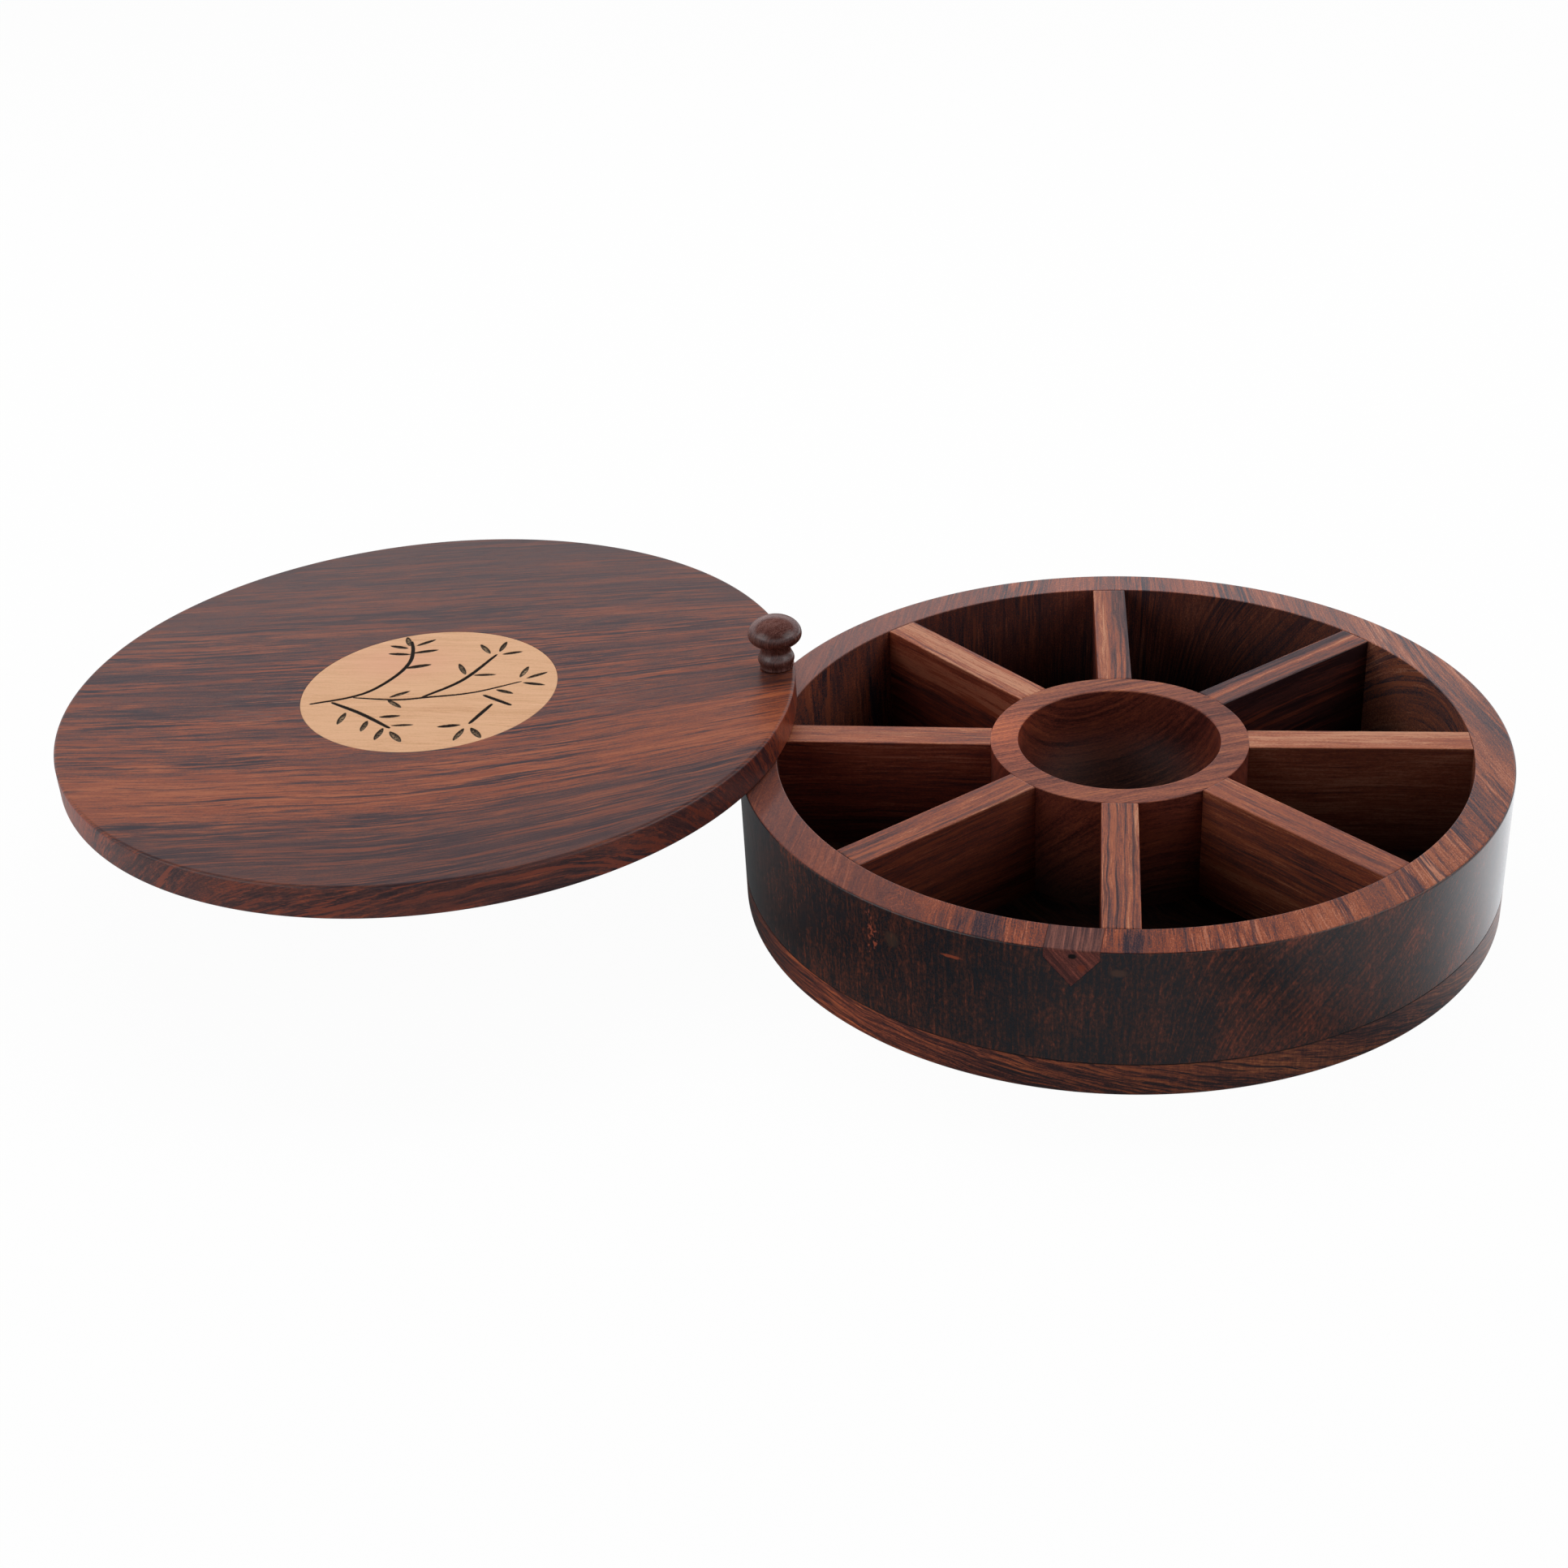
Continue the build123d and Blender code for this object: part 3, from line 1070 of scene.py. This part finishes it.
def cup_patch_and_depth_shade(n, place, grain, colour):
    """Oranger at the left of the rim, and ever darker with depth below it, where the finish was
    never rubbed down."""
    _, _, up = n.split(place)
    orange = n.spot(place, (-35, 14, RIM / MM), (17, 20, 6), 0.7, 0.3, 45)
    colour = n.mix(orange, colour, (1.5, 1.33, 1.15), "MULTIPLY")
    # Painted shade: the hollow darkens with depth below the rim
    depth = n.remap(up, (RIM - 3 * MM) / MM, (WALL_FOOT + 4 * MM) / MM, 0, 0.9)
    return dim(n, colour, depth), n.times(depth, 0.9)


class BuildCup(bpy.types.Operator):
    """Turns the cup in the middle"""

    bl_idname = "spice_box.cup"
    bl_label = "Centre cup"

    def execute(self, context):
        foot, rim = heights("centre_cup")
        sizes = context.scene.spice_box_sizes
        outer = rounded(
            [(0, foot), (CUP_RADIUS, foot), (CUP_RADIUS, rim), (CUP_HOLLOW, rim), (CUP_HOLLOW, rim - 4 * MM)],
            [0.2 * MM, 0.3 * MM, sizes.cup_edge],
        )
        bowl = sizes.bowl_round
        t = np.linspace(0, pi / 2, 40)
        across = CUP_HOLLOW - bowl * (1 - np.cos(t))
        arc = np.stack((across, CUP_FLOOR + bowl * (1 - np.sin(t))), axis=-1)
        outline = np.concatenate((outer, arc, [(0, CUP_FLOOR)]))
        grain = wood(
            "cup_wood",
            tones(context, "cup"),
            turn=(0, 0, radians(22)),
            seed=41,
            tilt=0.7,
            wave=(120, 50, 50),
            rings=(200, 2.0, 60),
            ring_gain=0.9,
            streak_gain=0.9,
            zone_gain=0.6,
            ink_share=0.3,
            flame_share=0.4,
            grit_gain=0.7,
            side_tint=(0.75, 0.56, 0.58),
            end_share=0.0,
            specular=0.25,
            marks=cup_patch_and_depth_shade,
        )
        piece("cup", turned(outline, (0, 0), 256), grain, "box", "centre_cup")
        return {"FINISHED"}


def lid_rings(n, place, along, across, into):
    """The lid's ring coordinate: the streaks climb to the right and fan out at the front.

    v = y - 0.16 x - s(x) (0.001 - 0.0000125 y) x^2, where s is less on the left, and the depth
    into the board adds its share.
    """
    square = n.times(along, along, n.remap(along, -70, 30, 0.25, 1.35, True))
    fan_out = n.plus(0.001, n.times(across, -0.0000125))
    return n.plus(across, n.times(along, -0.16), n.times(square, fan_out, -1.0), n.times(into, 0.6))


def lid_bands(n, along, v):
    """How the lid's tone changes from front to back: an orange band in the near third, thin
    dark and orange lines behind the inlay, and an even brown beyond."""
    bands = [
        (-130, -0.06),
        (-98, -0.1),
        (-84, 0.04),
        (-66, 0.2),
        (-50, 0.18),
        (-30, 0.04),
        (-14, 0.04),
        (-2, -0.04),
        (16, -0.02),
        (22, -0.14),
        (27, -0.03),
        (44, -0.02),
        (50, 0.16),
        (55, -0.14),
        (61, -0.02),
        (90, -0.05),
        (130, -0.06),
    ]
    return n.profile(v, bands)


def lid_marks(n, place, grain, colour):
    """An even, dull brown that takes over towards the back and at the front edge, and fine pale
    scratches at both sides of the inlay."""
    _, v, _ = n.split(grain)
    even = n.profile(v, ((-130, 0.4), (-95, 0.35), (-78, 0), (20, 0.05), (50, 0.35), (130, 0.65)))
    colour = n.mix(n.remap(even, 0, 1), colour, linear(82, 60, 58))
    left = n.spot(place, (-58, -16, 0), (20, 12, 9), 0.6, 0.2, 53)
    right = n.spot(place, (60, 2, 0), (18, 14, 9), 0.6, 0.2, 54)
    turned_place = n.add("ShaderNodeMapping", {"Vector": place, "Rotation": (0, 0, radians(-7))})
    fine = n.remap(n.noise(turned_place, (9, 0.3, 4), 1, 0.5, 0, 55), 0.66, 0.7)
    scratch = n.times(n.plus(left, right), fine, 0.5)
    return n.mix(scratch, colour, linear(150, 132, 124)), scratch


class BuildLid(bpy.types.Operator):
    """Turns the lid, with the pocket for the inlay and the bore for the pin"""

    bl_idname = "spice_box.lid"
    bl_label = "Lid"

    def execute(self, context):
        low, high = heights("lid_disc")
        pocket = half_width("inlay_disc") + GLUE
        ledge, _ = heights("inlay_disc")
        radius = half_width("lid_disc")
        edge = context.scene.spice_box_sizes.lid_edge
        outline = rounded(
            [(0, low), (radius, low), (radius, high), (pocket, high), (pocket, ledge), (0, ledge)],
            [edge, edge, 0.1 * MM, 0.05 * MM],
        )
        grain = wood(
            "lid_wood",
            tones(context, "lid"),
            origin=(*LID_CENTRE, high),
            seed=51,
            bend=lid_rings,
            shift=lid_bands,
            marks=lid_marks,
            wave=(50, 22, 40),
            wave_height=3.5,
            rings=(70, 2.6, 60),
            ring_gain=0.9,
            streaks=(18, 0.8, 3.0),
            streak_gain=1.5,
            zones=(120, 9, 50),
            zone_gain=0.5,
            calm_gain=0.6,
            lines=(50, 1.5, 40),
            ink_below=0.42,
            ink_share=0.6,
            flame_above=0.56,
            flame_share=0.85,
            side_tint=(1.75, 1.35, 1.25),
            end_share=0.35,
        )
        lid = piece("lid", turned(outline, LID_CENTRE, 384), grain, "lid", "lid_disc")
        cut(lid, drill(half_width("pivot_pin") + RUNNING, PIVOT[:2], low - 1 * MM, high + 1 * MM))
        return {"FINISHED"}


# The sprig's stems, as points in millimetres from the middle of the disc, and the widest cut
STEMS = (
    (((-39, -12), (-27, -7), (-20, -1), (-14.5, 10), (-12.5, 20), (-13.7, 29), (-16, 36)), 1.6),
    (((-25, -7), (-10, -8), (0.5, -6), (16, -2), (31, 6.5)), 1.25),
    (((-1, -6), (10, 7), (17.5, 26.5)), 1.7),
    (((-31.6, -10.8), (-19, -18.5), (-6.6, -28)), 1.7),
    (((20.4, -3.9), (31.3, -10.6)), 1.6),
    (((24.6, -10.4), (20.3, -23.9)), 1.7),
)
# Its leaves, as place in millimetres, direction in degrees, length, width and how pale the inside is
LEAVES = (
    (-10.5, 35.5, 42, 8, 1.9, 0.3),
    (-19.5, 31.8, -15, 7.6, 1.9, 0.3),
    (-8.8, 28.6, 18, 9.2, 2.1, 0.2),
    (-18, 26.3, -3, 8.5, 1.9, 0.1),
    (-8.5, 17, 20, 9.4, 2.4, 0.2),
    (-17.3, 36.3, 112, 7.8, 2.1, 0.9),
    (12.5, 31, 126, 9, 2.0, 0.8),
    (18.5, 33, 85, 8.2, 1.9, 0.4),
    (23, 28.2, 19, 7.4, 1.9, 0.4),
    (7.9, 15.3, 118, 9.4, 2.0, 0.9),
    (17, 11.2, 5, 8.2, 1.7, 0.5),
    (30.6, 13.8, 82, 8.6, 2.0, 1.0),
    (35.7, 11.4, 37, 8.2, 1.9, 0.4),
    (36, 5, -11, 8.6, 1.8, 0.2),
    (27, -1, -22, 7.4, 1.9, 0.3),
    (-9.5, -4, 39, 8, 2.0, 0.6),
    (-9.5, -11, -41, 8.4, 2.0, 1.0),
    (-25, -22, 87, 8.6, 2.2, 0.9),
    (-15.6, -27, 89, 7.6, 2.1, 0.7),
    (-8.6, -20, 9, 7.4, 2.0, 0.2),
    (-2.6, -26, 6, 7.8, 1.5, 0.5),
    (-9, -32.3, 85, 8.4, 2.2, 0.6),
    (-2.8, -34, -51, 9.2, 2.5, 0.8),
    (13.6, -26, 12, 8, 2.1, 0.1),
    (18.4, -31.8, 80, 8.8, 2.1, 0.7),
    (24, -30.5, -54, 8.8, 2.4, 0.7),
)


def smooth_path(points, steps=24):
    """A path through hand-set points: on each span from b to c, with a and d the points beyond,
    p(t) = (2b + (c-a)t + (2a-5b+4c-d)t^2 + (3b-a-3c+d)t^3) / 2."""
    p = np.asarray(points, float)
    p = np.concatenate((2 * p[:1] - p[1:2], p, 2 * p[-1:] - p[-2:-1]))
    t = np.linspace(0, 1, steps, endpoint=False)[None, :, None]
    a, b, c, d = p[:-3, None], p[1:-2, None], p[2:-1, None], p[3:, None]
    spans = (2 * b + (c - a) * t + (2 * a - 5 * b + 4 * c - d) * t**2 + (3 * b - a - 3 * c + d) * t**3) / 2
    return np.concatenate((spans.reshape(-1, 2), p[-2:-1]))


def stem_cut(place, points, width):
    """How far outside a stem's cut each place lies: the distance to its path, less half the width.

    With s from 0 to 1 along the stem, the width is the widest one times 0.6 + 0.4 sin(pi s)^0.4.
    """
    path = smooth_path(points)
    taper = np.sin(pi * np.linspace(0, 1, len(path))) ** 0.4
    far = np.linalg.norm(place[:, None] - path[None], axis=2)
    return (far - width / 2 * (0.6 + 0.4 * taper)).min(axis=1)


def leaf_cut(place, x, y, direction, size, width):
    """How far outside a leaf each place lies, for a along the leaf and b across it.

    With l and w half its length and half its width, its edge is |b| = w (1 - (a/l)^2)^0.7. Beyond
    that edge and beyond the tips the two distances are combined, and inside they are negative.
    """
    turned_place = (place[:, 0] - x + 1j * (place[:, 1] - y)) / np.exp(1j * radians(direction))
    a, b = turned_place.real, turned_place.imag
    over = abs(b) - width / 2 * np.clip(1 - (a / (size / 2)) ** 2, 0, 1) ** 0.7
    past = abs(a) - size / 2
    return np.hypot(np.maximum(over, 0), np.maximum(past, 0)) + np.minimum(over, 0)


def sprig(place, sizes):
    """How far outside the carving each place lies, and how pale the inside of a leaf is there."""
    stems = np.min([stem_cut(place, path, width * sizes.stem_width) for path, width in STEMS], axis=0)
    leaves = np.array([leaf_cut(place, *leaf[:4], leaf[4] * sizes.leaf_width) for leaf in LEAVES])
    pale = np.array([leaf[5] for leaf in LEAVES])[:, None]
    light = (np.clip(-leaves - 0.25, 0, 0.4) * pale).max(axis=0) / 0.4
    return np.minimum(stems, leaves.min(axis=0)), light


def disc_grid(cells):
    """A square grid pressed into a disc of radius 1, and the numbers of its border points in order.

    x = u sqrt(1 - v^2 / 2), y = v sqrt(1 - u^2 / 2), for u and v from -1 to 1.
    """
    v, u = np.meshgrid(np.linspace(-1, 1, cells), np.linspace(-1, 1, cells), indexing="ij")
    flat = np.stack((u * np.sqrt(1 - v**2 / 2), v * np.sqrt(1 - u**2 / 2)), axis=-1).reshape(-1, 2)
    number = np.arange(cells * cells).reshape(cells, cells)
    border = np.concatenate((number[0, :-1], number[:-1, -1], number[-1, :0:-1], number[:0:-1, 0]))
    return flat, border


class BuildInlay(bpy.types.Operator):
    """Cuts the pale disc and carves its leaf sprig"""

    bl_idname = "spice_box.inlay"
    bl_label = "Inlay"

    def execute(self, context):
        sizes = context.scene.spice_box_sizes
        low, high = heights("inlay_disc")
        radius = half_width("inlay_disc")
        edge = 0.1 * MM
        cells = 290
        flat, border = disc_grid(cells)
        place = flat * (radius - edge) / MM
        outside, light = sprig(place, sizes)
        # The cut is deepest this many millimetres inside its edge
        slope = 0.6
        drop = sizes.carving_depth * np.clip(-outside, 0, slope) / slope
        top = np.column_stack((place * MM + LID_CENTRE, high - drop))
        count = len(border)
        levels = ((radius, high - edge), (radius, low))
        skirt = [np.column_stack((flat[border] * r + LID_CENTRE, np.full(count, z))) for r, z in levels]
        rows = np.concatenate((border[None], len(top) + np.arange(2 * count).reshape(2, count)))
        following = np.roll(rows, -1, axis=1)
        sides = np.stack((rows[1:], following[1:], following[:-1], rows[:-1]), axis=-1)
        points = np.concatenate((top, *skirt, [(*LID_CENTRE, low)]))
        faces = lattice(cells, cells) + sides.reshape(-1, 4).tolist()
        faces += fan(rows[-1][::-1], len(points) - 1)
        grain = inlay_wood((*LID_CENTRE, high), tones(context, "inlay"))
        made = piece("inlay", (points, faces), grain, "lid", "inlay_disc")
        # The skirt and the underside count as far outside the carving
        spare = len(points) - len(top)
        layers = (("cut", outside, 9.0), ("pale_leaf", light, 0.0))
        for name, values, rest in layers:
            layer = made.data.attributes.new(name, "FLOAT", "POINT")
            layer.data.foreach_set("value", np.append(values, np.full(spare, rest)).astype(np.float32))
        return {"FINISHED"}


def inlay_wood(origin, wood_tones):
    """Pale close-grained wood, burnt black in the cuts."""
    return wood(
        "inlay_wood",
        wood_tones,
        origin=origin,
        seed=61,
        marks=inlay_burn,
        tilt=0.3,
        wave_height=8.0,
        rings=(50, 3.5, 40),
        ring_gain=0.5,
        streaks=(14, 0.8, 3.0),
        streak_gain=0.7,
        fibre_gain=0.5,
        zone_gain=0.3,
        flame_share=0.2,
        ink_share=0.1,
        pore_share=0.1,
        side_tint=(0.9, 0.85, 0.8),
        end_share=0.0,
    )


def inlay_burn(n, place, grain, colour):
    """Colours the cuts, the pale insides of some leaves and a pinkish patch of the disc."""
    pink = n.spot(place, (-16, 20, 0), (17, 11, 9), 0.9, 0.2, 62)
    colour = n.mix(n.times(pink, 0.6), colour, linear(222, 160, 128))
    cut_depth = n.add("ShaderNodeAttribute", output="Fac", attribute_name="cut")
    leaf = n.add("ShaderNodeAttribute", output="Fac", attribute_name="pale_leaf")
    speckle = n.noise(place, (0.8, 0.5, 0.5), 2, 0.7, 0, 63)
    burn = n.remap(n.plus(cut_depth, n.centred(speckle, 0.25)), -0.12, 0.12, 1, 0, True)
    inner = n.times(leaf, n.remap(speckle, 0.44, 0.6, 0.05, 1))
    colours = bpy.context.scene.spice_box_colours
    char = n.mix(n.times(inner, 0.8), tuple(colours.carving), tuple(colours.leaf))
    return n.mix(burn, colour, char), burn


def eased_step(start, end, steps=14):
    """A profile from one radius and level to another, level at both ends: r goes by (1 - cos) / 2."""
    t = np.linspace(0, 1, steps + 1)[:, None]
    (from_radius, from_level), (to_radius, to_level) = start, end
    radius = from_radius + (to_radius - from_radius) * (1 - np.cos(pi * t)) / 2
    return np.hstack((radius, from_level + (to_level - from_level) * t))


class BuildKnob(bpy.types.Operator):
    """Turns the knob on the end of the pin"""

    bl_idname = "spice_box.knob"
    bl_label = "Knob"

    def execute(self, context):
        low, high = heights("knob")
        head = half_width("knob")
        t = np.linspace(0, 1, 17)[:, None]
        quarter = t * pi / 2
        sizes = context.scene.spice_box_sizes
        foot, groove, bead, neck = sizes.knob_foot, sizes.knob_groove, sizes.knob_bead, sizes.knob_neck
        groove_level, bead_level, waist_level, neck_level, head_level = (
            low + h * MM for h in (0.9, 3.2, 6.8, 9.0, 12.4)
        )
        base = rounded([(0, low), (foot, low), (groove, groove_level)], [SANDED])
        swell = eased_step((groove, groove_level), (bead, bead_level))
        waist = eased_step((bead, bead_level), (neck, waist_level))
        across = neck + (head - neck) * np.sin(quarter)
        under = np.hstack((across, neck_level + (head_level - neck_level) * (1 - np.cos(quarter))))
        crown = np.hstack((head * np.cos(quarter), head_level + (high - head_level) * np.sin(quarter)))
        outline = np.concatenate((base, swell[1:], waist[1:], under[1:], crown[1:-1], [(0, high)]))
        grain = wood(
            "knob_wood",
            tones(context, "knob"),
            origin=tuple(PIVOT),
            turn=(0, radians(-90), 0),
            seed=71,
            ring_gain=0.8,
            streak_gain=0.8,
            fibre_gain=1.0,
            zone_gain=0.5,
            ink_share=0.4,
            flame_share=0.3,
            side_tint=(1, 1, 1),
            end_share=0,
            gloss=0.24,
            specular=0.5,
            relief=0.05,
        )
        piece("knob_turned", turned(outline, PIVOT[:2], 96), grain, "box", "knob")
        return {"FINISHED"}


class FinishPin(bpy.types.Operator):
    """Gives the pin its bright drawn steel"""

    bl_idname = "spice_box.pin"
    bl_label = "Pin"

    def execute(self, context):
        material = bpy.data.materials.new("pin_steel")
        material.use_nodes = True
        n = Nodes(material.node_tree)
        place = board(n, tuple(PIVOT), (0, radians(-90), 0))
        draw = n.noise(place, (20, 0.1, 0.1), 2, 0.5, 0, 3)
        colours = context.scene.spice_box_colours
        colour = n.ramp(draw, [(0.3, tuple(colours.steel_dark)), (0.7, tuple(colours.steel_light))])
        rough = n.remap(draw, 0.3, 0.7, 0.22, 0.38)
        inputs = {"Base Color": colour, "Metallic": 1.0, "Roughness": rough}
        surface = n.add("ShaderNodeBsdfPrincipled", inputs)
        n.add("ShaderNodeOutputMaterial", {"Surface": surface})
        pin = frame["nodes"]["pivot_pin"]
        pin.data.materials.clear()
        pin.data.materials.append(material)
        return {"FINISHED"}


# Painted reflections: how bright the floor glows to reflections only, from left to right, as places
# in metres and half levels. The dip under the lid, near -0.13, is a painted shadow.
FLOOR_MIRRORED = (
    (-0.42, 0.28),
    (-0.37, 0.2),
    (-0.33, 0.16),
    (-0.26, 0.14),
    (-0.18, 0.08),
    (-0.13, 0.05),
    (-0.08, 0.1),
    (-0.02, 0.18),
    (0.03, 0.2),
    (0.08, 0.24),
    (0.12, 0.55),
    (0.16, 0.7),
)
FLOOR_REACH = 6.0
# The lamps all point at the middle of the object. Each has a bearing and a lift in degrees, a
# distance, the name of its power, a width and a height, in metres.
AIM = (-0.12, 0, 0.03)
LAMPS = (
    ("left softbox", 214, 34, 1.4, "front_power", 1.1, 0.9),
    ("right softbox", 351, 34, 1.4, "front_power", 1.1, 0.9),
    ("back softbox", 96, 60, 1.8, "back_power", 2.6, 0.8),
)
# The camera that the outlines in the photo ask for: its place in millimetres, its turns in radians,
# its focal length and the photo's side in pixels, and the sensor's width in millimetres
EYE = (-5.98, -680.46, 429.10)
YAW, PITCH, ROLL = -0.157, 0.524, -0.061
FOCAL_PIXELS, PHOTO_SIDE = 2848.68, 1932
SENSOR = 36


def paper_floor(scene):
    """The pale floor: white to the camera, a graded white card to reflections, grey paper to light."""
    mesh = bpy.data.meshes.new("floor")
    corners = [(x * FLOOR_REACH, y * FLOOR_REACH, 0) for x, y in ((-1, -1), (1, -1), (1, 1), (-1, 1))]
    mesh.from_pydata(corners, [], [(0, 1, 2, 3)])
    floor = bpy.data.objects.new("floor", mesh)
    scene.collection.objects.link(floor)
    material = bpy.data.materials.new("floor_paper")
    material.use_nodes = True
    n = Nodes(material.node_tree)
    path = n.tree.nodes.new("ShaderNodeLightPath")
    x, y, _ = n.split(n.add("ShaderNodeTexCoord", output="Object"))
    # Painted reflection: the floor glows to reflections alone, graded from left to right and dimmer further
    # in front at the right
    front = n.times(n.remap(x, 0.03, 0.08), n.remap(y, -0.1, -0.01, 0.5, 0, True))
    reflected_glow = n.times(n.profile(x, FLOOR_MIRRORED), n.math("SUBTRACT", 1.0, front))
    seen = n.math("MAXIMUM", path.outputs["Is Camera Ray"], path.outputs["Is Transmission Ray"])
    diffuse = n.add("ShaderNodeBsdfDiffuse", {"Color": (0.8, 0.8, 0.8, 1)})
    glow = n.add("ShaderNodeEmission", {"Color": (1, 1, 1, 1), "Strength": 1.0})
    mirrored = n.add("ShaderNodeEmission", {"Color": (0.95, 0.97, 1, 1), "Strength": n.times(reflected_glow, 2.0)})
    bright = n.add("ShaderNodeMixShader", {0: 0.97, 1: diffuse, 2: glow})
    first = n.add("ShaderNodeMixShader", {0: path.outputs["Is Glossy Ray"], 1: diffuse, 2: mirrored})
    both = n.add("ShaderNodeMixShader", {0: seen, 1: first, 2: bright})
    n.add("ShaderNodeOutputMaterial", {"Surface": both})
    mesh.materials.append(material)


def studio_world(scene):
    """The surroundings: white to the camera, dim to light, and pale low down but dark overhead to
    reflections."""
    world = bpy.data.worlds.new("studio")
    scene.world = world
    world.use_nodes = True
    n = Nodes(world.node_tree)
    path = n.tree.nodes.new("ShaderNodeLightPath")
    _, _, up = n.split(n.add("ShaderNodeTexCoord", output="Generated"))
    low = n.times(n.remap(up, 0.0, 0.25, 0.3, 1.05), n.remap(up, 0.42, 0.56, 1, 0.03, True))
    ambient = n.add("ShaderNodeBackground", {"Color": (1, 1, 1, 1), "Strength": 0.06})
    mirrored = n.add("ShaderNodeBackground", {"Color": (0.9, 0.95, 1, 1), "Strength": low})
    white = n.add("ShaderNodeBackground", {"Color": (1, 1, 1, 1), "Strength": 1.0})
    first = n.add("ShaderNodeMixShader", {0: path.outputs["Is Glossy Ray"], 1: ambient, 2: mirrored})
    second = n.add("ShaderNodeMixShader", {0: path.outputs["Is Camera Ray"], 1: first, 2: white})
    n.add("ShaderNodeOutputWorld", {"Surface": second})


def softboxes(scene):
    """The lamps. The back one is left out of reflections, where it would be a hard glare."""
    for name, bearing, lift, far, power_name, wide, tall in LAMPS:
        light = bpy.data.lights.new(name, "AREA")
        light.shape = "RECTANGLE"
        light.size = wide
        light.size_y = tall
        light.energy = getattr(scene.spice_box_sizes, power_name)
        lamp = bpy.data.objects.new(name, light)
        lamp.visible_glossy = name != "back softbox"
        bearing, lift = radians(bearing), radians(lift)
        way = Vector((cos(bearing) * cos(lift), sin(bearing) * cos(lift), sin(lift)))
        lamp.location = Vector(AIM) + way * far
        lamp.rotation_euler = (-way).to_track_quat("-Z", "Y").to_euler()
        scene.collection.objects.link(lamp)


def place_camera(scene):
    """The camera, at the photo's viewing angle."""
    camera = bpy.data.cameras.new("camera")
    camera.sensor_width = SENSOR
    camera.lens = FOCAL_PIXELS / PHOTO_SIDE * SENSOR
    camera.clip_start = 0.05
    eye = bpy.data.objects.new("camera", camera)
    turns = ((-YAW, "Z"), (pi / 2 - PITCH, "X"), (ROLL, "Z"))
    yawed, pitched, rolled = (Matrix.Rotation(angle, 4, axis) for angle, axis in turns)
    at = Matrix.Translation([length_mm * MM for length_mm in EYE])
    eye.matrix_world = at @ (yawed @ pitched @ rolled)
    scene.collection.objects.link(eye)
    scene.camera = eye


class BuildStage(bpy.types.Operator):
    """Sets the pale floor, the studio light and the camera"""

    bl_idname = "spice_box.stage"
    bl_label = "Stage"

    def execute(self, context):
        for step in (paper_floor, studio_world, softboxes, place_camera):
            step(context.scene)
        context.scene.view_settings.view_transform = "Standard"
        return {"FINISHED"}


class SpiceBoxPanel(bpy.types.Panel):
    """Lists the pieces of the spice box, their sizes and their colours"""

    bl_idname = "VIEW3D_PT_spice_box"
    bl_label = "Spice box"
    bl_space_type = "VIEW_3D"
    bl_region_type = "UI"
    bl_category = "Spice box"

    def draw(self, context):
        layout = self.layout
        for step in STEPS:
            layout.operator(step.bl_idname)
        sizes = context.scene.spice_box_sizes
        for name in SpiceBoxSizes.__annotations__:
            layout.prop(sizes, name)
        colours = context.scene.spice_box_colours
        for name in SpiceBoxColours.__annotations__:
            owner = getattr(colours, name)
            if isinstance(owner, bpy.types.PropertyGroup):
                row = layout.row(align=True)
                for tone in TONES:
                    row.prop(owner, tone, text="")
            else:
                layout.prop(colours, name)


STEPS = (
    BuildBase,
    BuildWall,
    BuildKey,
    BuildDividers,
    BuildCup,
    BuildLid,
    BuildInlay,
    BuildKnob,
    FinishPin,
    BuildStage,
)
CLASSES = (*GROUPS, *STEPS, SpiceBoxPanel)


def register():
    for cls in CLASSES:
        bpy.utils.register_class(cls)
    bpy.types.Scene.spice_box_sizes = PointerProperty(type=SpiceBoxSizes)
    bpy.types.Scene.spice_box_colours = PointerProperty(type=SpiceBoxColours)


def unregister():
    del bpy.types.Scene.spice_box_colours
    del bpy.types.Scene.spice_box_sizes
    for cls in reversed(CLASSES):
        bpy.utils.unregister_class(cls)


def main():
    """Builds every piece and the stage, and writes the two boxes."""
    register()
    for step in STEPS:
        group, name = step.bl_idname.split(".")
        getattr(getattr(bpy.ops, group), name)()


if __name__ == "__main__":
    main()
